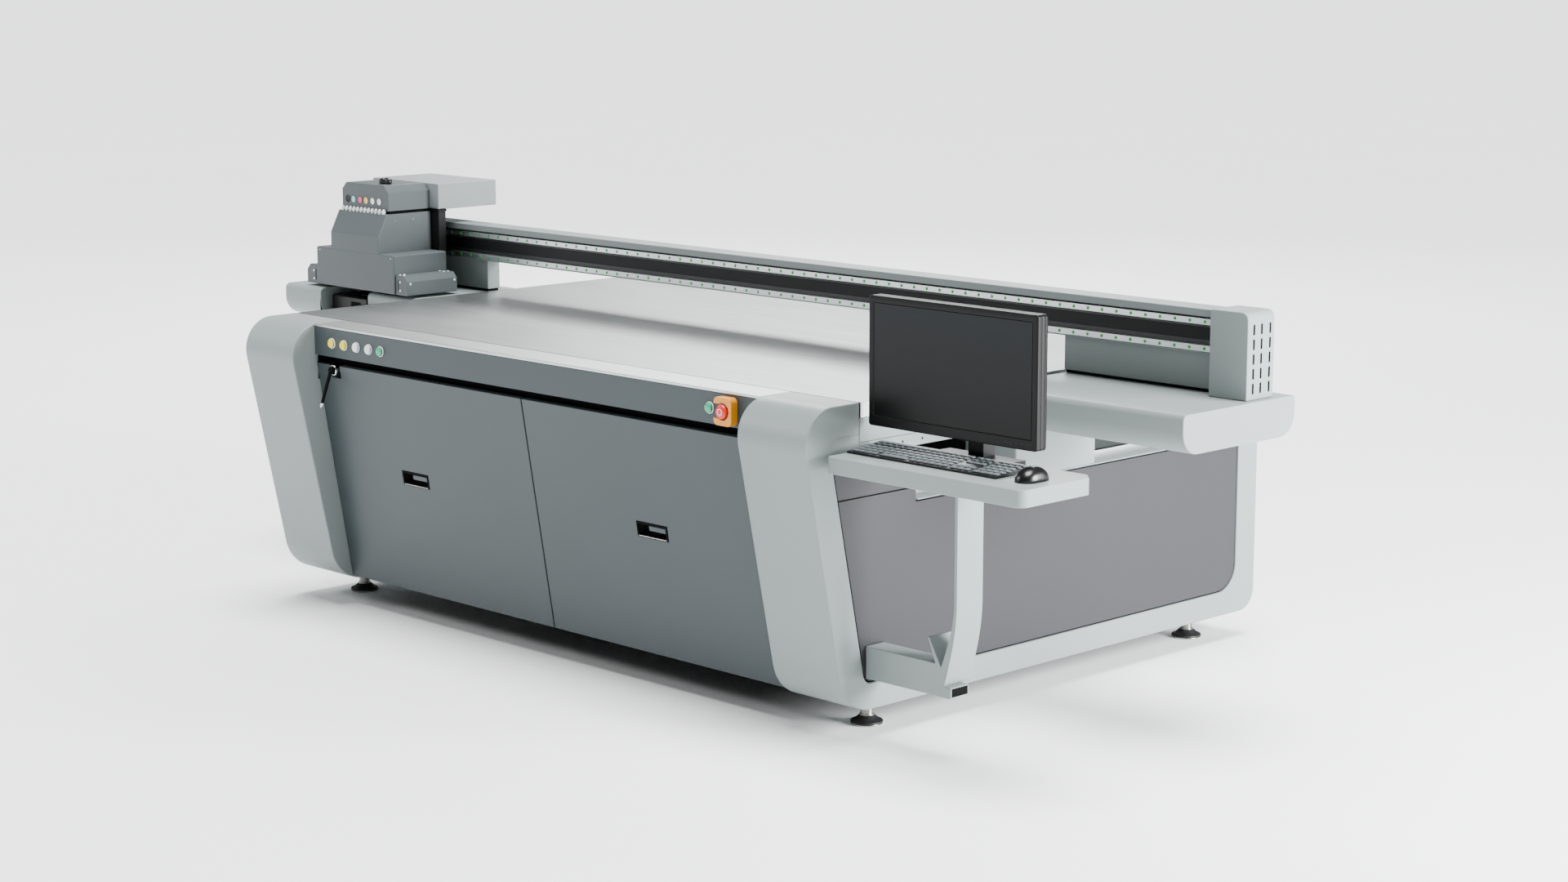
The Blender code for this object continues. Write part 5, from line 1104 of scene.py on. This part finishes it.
class PRINTER_OT_capping(Builder, bpy.types.Operator):
    """Black capping station in the left housing's recess"""

    bl_idname = "printer.capping"
    bl_label = "Capping Station"

    def build(self, size):
        low, high = corners("capping_station")
        tray = box(low, (high[0], high[1], high[2] - 0.006), 0.003)
        wide, run = high[0] - low[0], high[1] - low[1]
        pads = [(low[0] + wide * u, low[1] + run * v, high[2] - 0.0065)
                for v in (0.28, 0.52, 0.76) for u in (0.3, 0.7)]
        pad_outer = rectangle(-0.030, -0.018, 0.030, 0.018, 0.004)
        pad_inner = inset(pad_outer, 0.003)
        rings = np.stack([pad_outer, pad_outer, pad_inner, pad_inner])
        pad = skin(placed(rings, [0, 0.006, 0.006, 0.002], "z"))
        # a black patch where the tray's port opens: painted shade of the opening
        port_shade = box((low[0] + wide * 0.55, low[1] - 0.0004, low[2] + 0.016),
                   (low[0] + wide * 0.83, low[1] + 0.002, low[2] + 0.042), 0.0008)
        make("capping_tray", "capping", [
            (tray, "black_moulded_abs"), (copies(pad, pads), "moulded_foot_rubber"),
            (port_shade, "black_gap")], "capping_station")


class PRINTER_OT_carriage(Builder, bpy.types.Operator):
    """Print carriage: its sloped cover, the lower box and a curing lamp on each side"""

    bl_idname = "printer.carriage"
    bl_label = "Carriage"

    def build(self, size):
        low, high = corners("head_cover")
        centre, half = -1.591, 0.135  # the narrower upper part along X
        slope_foot, box_top = 1.114, 1.057  # heights where the sloped face starts and the lower box ends
        front = low[1]
        paint = "carriage_powder_coat"
        upper = outline((front + 0.0005, low[2] + 0.010), (front + 0.0005, slope_foot, 0.006),
                        (front + 0.0375, high[2], 0.006), (high[1], high[2]), (high[1], low[2] + 0.010),
                        soft=0.0035)
        hood = slab(upper, "x", centre - half, centre + half, 0.003)
        lower = box((low[0], front, low[2]), (high[0], front + 0.2220, box_top), 0.005, 3)
        head = facing(screw(0.0028, 0.0012, 10), "front")
        marks = copies(head, [(x, front + 0.0008, box_top - 0.010) for x in (low[0] + 0.020, high[0] - 0.020)])
        side = facing(screw(0.0022, 0.0010, 10), "right")
        side_marks = copies(side, [(centre + half - 0.0002, front + back, 1.165) for back in (0.075, 0.150)])
        marks = joined(marks, side_marks)
        make("carriage_hood", "print_head", [
            (hood, paint), (lower, paint), (marks, "turned_steel")], "head_cover")

        for name, sign in SIDES:
            low, high = corners(f"{name}_curing_lamp")
            chamfer = 0.019
            x_out, x_in = (high[0], low[0]) if sign > 0 else (low[0], high[0])
            lean = sign * chamfer
            line = outline((x_in, low[2], 0.002), (x_out, low[2], 0.004), (x_out, high[2] - chamfer, 0.003),
                           (x_out - lean, high[2], 0.003), (x_in, high[2], 0.002))
            body = slab(line, "y", low[1], high[1], 0.0018)
            # a black strip where the lamp's front slot is: painted shade of the slot
            slot_low, slot_high = sorted((x_in + sign * 0.010, x_in + sign * 0.016))
            slot_shade = box((slot_low, low[1], low[2] + 0.012),
                       (slot_high, low[1] + 0.002, high[2] - 0.016), 0.0006, 1)
            dot = screw(0.0042, 0.0030, 10)
            top = high[2] - 0.0006
            edge = (x_in + x_out) / 2
            tops = [(x_in + sign * 0.008, low[1] + step, top) for step in (0.012, 0.030, 0.180)]
            tops += [(edge - lean * 0.1, low[1] + step, top) for step in (0.012, 0.180, 0.198)]
            fronts = [(x_in + sign * 0.024, low[1] + 0.0004, low[2] + step) for step in (0.016, 0.044)]
            ends = [(x_out - sign * 0.0004, low[1] + step, low[2] + 0.040) for step in (0.012, 0.198)]
            dots = joined(copies(dot, tops), copies(facing(dot, "front"), fronts),
                          copies(facing(dot, name), ends))
            make(f"{name}_lamp_case", "print_head", [
                (body, "carriage_powder_coat"), (slot_shade, "black_gap"),
                (dots, "white_polycarbonate")], f"{name}_curing_lamp")


class PRINTER_OT_ink_box(Builder, bpy.types.Operator):
    """Ink box with six coloured caps and a row of tube fittings, and the covers behind it"""

    bl_idname = "printer.ink_box"
    bl_label = "Ink and Rear Boxes"

    def build(self, size):
        low, high = corners("ink_box")
        paint = "carriage_powder_coat"
        body_low = low[2] + 0.009
        chamfer = 0.023
        line = outline((low[0], body_low, 0.002), (high[0], body_low, 0.002),
                       (high[0], high[2] - chamfer, 0.004), (high[0] - chamfer, high[2], 0.004),
                       (low[0] + chamfer, high[2], 0.004), (low[0], high[2] - chamfer, 0.004))
        body = slab(line, "y", low[1], high[1], 0.0018)
        plinth = box(low + (0.012, 0.012, 0), (high[0] - 0.012, high[1], body_low + 0.003))
        parts = [(body, paint), (plinth, "black_gap")]
        profile = [(0.0100, -0.0010), (0.0118, -0.0010), (0.0118, 0.0006), (0.0108, 0.0016), (0.0088, 0.0010),
                   (0.0060, 0.0008), (TIP, 0.0008)]
        cap = facing(turned([(radius, height - 0.0018) for radius, height in profile], segments=28), "front")
        groups = (("black_moulded_abs", (-1.688,)), ("ink_cyan", (-1.656,)), ("ink_magenta", (-1.619,)),
                  ("ink_yellow", (-1.586,)), ("white_polycarbonate", (-1.549, -1.512)))
        cap_height = 1.226
        for colour, where in groups:
            parts.append((copies(cap, [(x, low[1] - 0.0016, cap_height) for x in where]), colour))
        profile = [(0.0118, -0.0020), (0.0128, -0.0020), (0.0128, 0.0), (0.0118, 0.0002), (0.0112, -0.0020)]
        ring = facing(turned(profile, segments=28), "front")
        places = [(x, low[1] - 0.0012, cap_height) for _, where in groups for x in where]
        parts.append((copies(ring, places), "monitor_trim_abs"))
        make("ink_box_cover", "print_head", parts, "ink_box")

        cover_low, cover_high = corners("head_cover")
        barb = turned([(0.0055, -0.002), (0.0055, 0.004), (0.0070, 0.0048), (0.0070, 0.0085), (0.0052, 0.0092),
                       (0.0052, 0.0130), (0.0030, 0.0165), (TIP, 0.0168)], segments=12)
        first_fitting, fitting_pitch = -1.706, 0.0207
        places = [(first_fitting + fitting_pitch * index, cover_low[1] + 0.0420, cover_high[2] - 0.0010)
                  for index in range(12)]
        make("tube_fittings", "print_head", [
            (copies(barb, places), "white_polycarbonate")])

        low, high = corners("rear_box")
        shelf, plate_top = 1.195, 1.185  # heights of the top cover's underside and of the plate below it
        top = box((low[0], low[1], shelf), high, size.cover_edge)
        plate = box(low + (0, 0, 0.003), (high[0], low[1] + 0.030, plate_top), 0.002)
        neck = box((low[0] + 0.060, low[1] + 0.002, plate_top - 0.005),
                   (high[0] - 0.060, low[1] + 0.060, shelf + 0.003))
        # the top cover wears the carriage's paint, drawn lighter as painted light
        make("rear_box_cover", "print_head", [
            (top, "rear_box_powder_coat"), (plate, "black_moulded_abs"),
            (neck, "black_gap")], "rear_box")

        low, high = corners("clamp_knob")
        x, y, _ = middle("clamp_knob")
        around = np.linspace(0, 2 * math.pi, 72, endpoint=False)
        reach = (high[0] - low[0]) / 2
        lobes = reach * (0.80 + 0.20 * np.cos(3 * around))
        ring = np.stack([lobes * np.cos(around), lobes * np.sin(around)], axis=-1)
        heights = np.array([0.0, 0.0, 0.0030, 0.0110, 0.0165, 0.0195, 0.0200])
        scales = np.array([0.30, 0.86, 0.97, 1.0, 0.90, 0.66, 0.20])
        knob = skin(placed(ring[None] * scales[:, None, None], heights, "z"))
        make("knob_grip", "knob", [
            ((knob[0] + np.array([x, y, low[2]]), knob[1]), "gloss_black_abs")], "clamp_knob")


class PRINTER_OT_inner_parts(Builder, bpy.types.Operator):
    """Finishes of the parts that stay as the frame has them: stand, rails, cabinet, blower and plates"""

    bl_idname = "printer.inner_parts"
    bl_label = "Inner Parts"

    def build(self, size):
        for node, name in (
                ("welded_stand", "stand_enamel"), ("control_cabinet", "cover_powder_coat"),
                ("suction_blower", "black_moulded_abs"), ("print_heads", "ground_rail_steel"),
                ("carriage_plate", "black_anodised"), ("rear_panel", "side_powder_coat"),
                ("left_side_rail", "ground_rail_steel"), ("right_side_rail", "ground_rail_steel")):
            paint_node(node, name)


# ---------------------------------------------------------------- studio

FLOOR_REACH = 150.0  # from the middle to the floor's edges, far enough that the horizon stays out of view
# Each light: name, kind, place, aim, then width, height and power. The sun has its angle as its width.
LIGHTS = (("key_light", "AREA", (6.1, 1.6, 2.1), (0.9, 0.0, 0.7), 2.4, 2.6, 1150.0),
          ("left_fill", "AREA", (-3.9, -4.4, 3.9), (-1.2, -0.9, 0.7), 1.8, 1.8, 130.0),
          ("rear_light", "AREA", (-5.8, 6.6, 6.0), (0.0, 0.0, 0.9), 4.2, 3.0, 640.0),
          ("sky_light", "SUN", (0.3, 0.1, 8.0), (0.0, 0.0, 0.0), math.radians(34), 0.0, 8.0))
AIR_STRENGTH = 0.16
CAMERA_PLACE = (6.540, -6.248, 2.163)
CAMERA_TILT, CAMERA_TURN = 79.97, 45.46  # degrees from looking straight down, and round from facing the rear
CAMERA_SIGHT = 400.0  # to beyond the floor's far edge
LENS, SENSOR = 67.5, 36.0  # millimetres


class PRINTER_OT_studio(bpy.types.Operator):
    """Pale floor, soft lights and the camera"""

    bl_idname = "printer.studio"
    bl_label = "Studio"
    bl_options = {"REGISTER", "UNDO"}

    def execute(self, context):
        scene = context.scene
        edges = np.array([-1.0, 1.0]) * FLOOR_REACH
        across, along = np.meshgrid(edges, edges)
        points = np.stack([across, along, np.zeros_like(across)], axis=-1).reshape(-1, 3)
        mesh = bpy.data.meshes.new("studio_floor")
        mesh.from_pydata(points.tolist(), [], [(0, 1, 3, 2)])
        mesh.materials.append(finish("studio_floor_paint"))
        mesh.shade_smooth()
        floor = bpy.data.objects.new("studio_floor", mesh)
        scene.collection.objects.link(floor)

        for name, kind, place, aim, spread, tall, power in LIGHTS:
            lamp = bpy.data.lights.new(name, kind)
            lamp.energy = power
            if kind == "SUN":
                lamp.angle = spread
            else:
                lamp.shape = "RECTANGLE"
                lamp.size, lamp.size_y = spread, tall
            made = bpy.data.objects.new(name, lamp)
            offset = np.array(aim) - np.array(place)
            flat = math.hypot(offset[0], offset[1])
            made.location = place
            made.rotation_euler = (math.atan2(flat, -offset[2]), 0.0, math.atan2(-offset[0], offset[1]))
            scene.collection.objects.link(made)

        world = bpy.data.worlds.new("studio_air")
        world.use_nodes = True
        air = world.node_tree.nodes["Background"]
        air.inputs["Color"].default_value = (*linear("#F4F6F8"), 1.0)
        air.inputs["Strength"].default_value = AIR_STRENGTH
        scene.world = world

        data = bpy.data.cameras.new("studio_camera")
        data.lens, data.sensor_width = LENS, SENSOR
        data.clip_end = CAMERA_SIGHT
        camera = bpy.data.objects.new("studio_camera", data)
        camera.location = CAMERA_PLACE
        camera.rotation_euler = (math.radians(CAMERA_TILT), 0.0, math.radians(CAMERA_TURN))
        scene.collection.objects.link(camera)
        scene.camera = camera
        return {"FINISHED"}


OPERATORS = (PRINTER_OT_studio, PRINTER_OT_side_frames, PRINTER_OT_table, PRINTER_OT_control_strip,
             PRINTER_OT_buttons, PRINTER_OT_stop_control, PRINTER_OT_valve_lever, PRINTER_OT_front_panels,
             PRINTER_OT_feet, PRINTER_OT_shelf, PRINTER_OT_monitor, PRINTER_OT_keyboard,
             PRINTER_OT_gantry_beam, PRINTER_OT_gantry_ends, PRINTER_OT_capping, PRINTER_OT_carriage,
             PRINTER_OT_ink_box, PRINTER_OT_inner_parts)


class PRINTER_PT_pieces(bpy.types.Panel):
    """Sidebar panel with the printer's pieces, sizes and colours"""

    bl_idname = "PRINTER_PT_pieces"
    bl_label = "Flatbed UV Printer"
    bl_space_type = "VIEW_3D"
    bl_region_type = "UI"
    bl_category = "Printer"

    def draw(self, context):
        for group in (context.scene.printer_sizes, context.scene.printer_colours):
            column = self.layout.column(align=True)
            for name in group.__annotations__:
                column.prop(group, name)
        column = self.layout.column(align=True)
        for operator in OPERATORS:
            column.operator(operator.bl_idname)


CLASSES = (PrinterColours, PrinterSizes, *OPERATORS, PRINTER_PT_pieces)


def register():
    for made in CLASSES:
        bpy.utils.register_class(made)
    bpy.types.Scene.printer_colours = bpy.props.PointerProperty(type=PrinterColours)
    bpy.types.Scene.printer_sizes = bpy.props.PointerProperty(type=PrinterSizes)


def unregister():
    del bpy.types.Scene.printer_sizes
    del bpy.types.Scene.printer_colours
    for made in reversed(CLASSES):
        bpy.utils.unregister_class(made)


def main():
    """Builds every piece in order."""
    register()
    for operator in OPERATORS:
        group, name = operator.bl_idname.split(".")
        getattr(getattr(bpy.ops, group), name)()


if __name__ == "__main__":
    main()
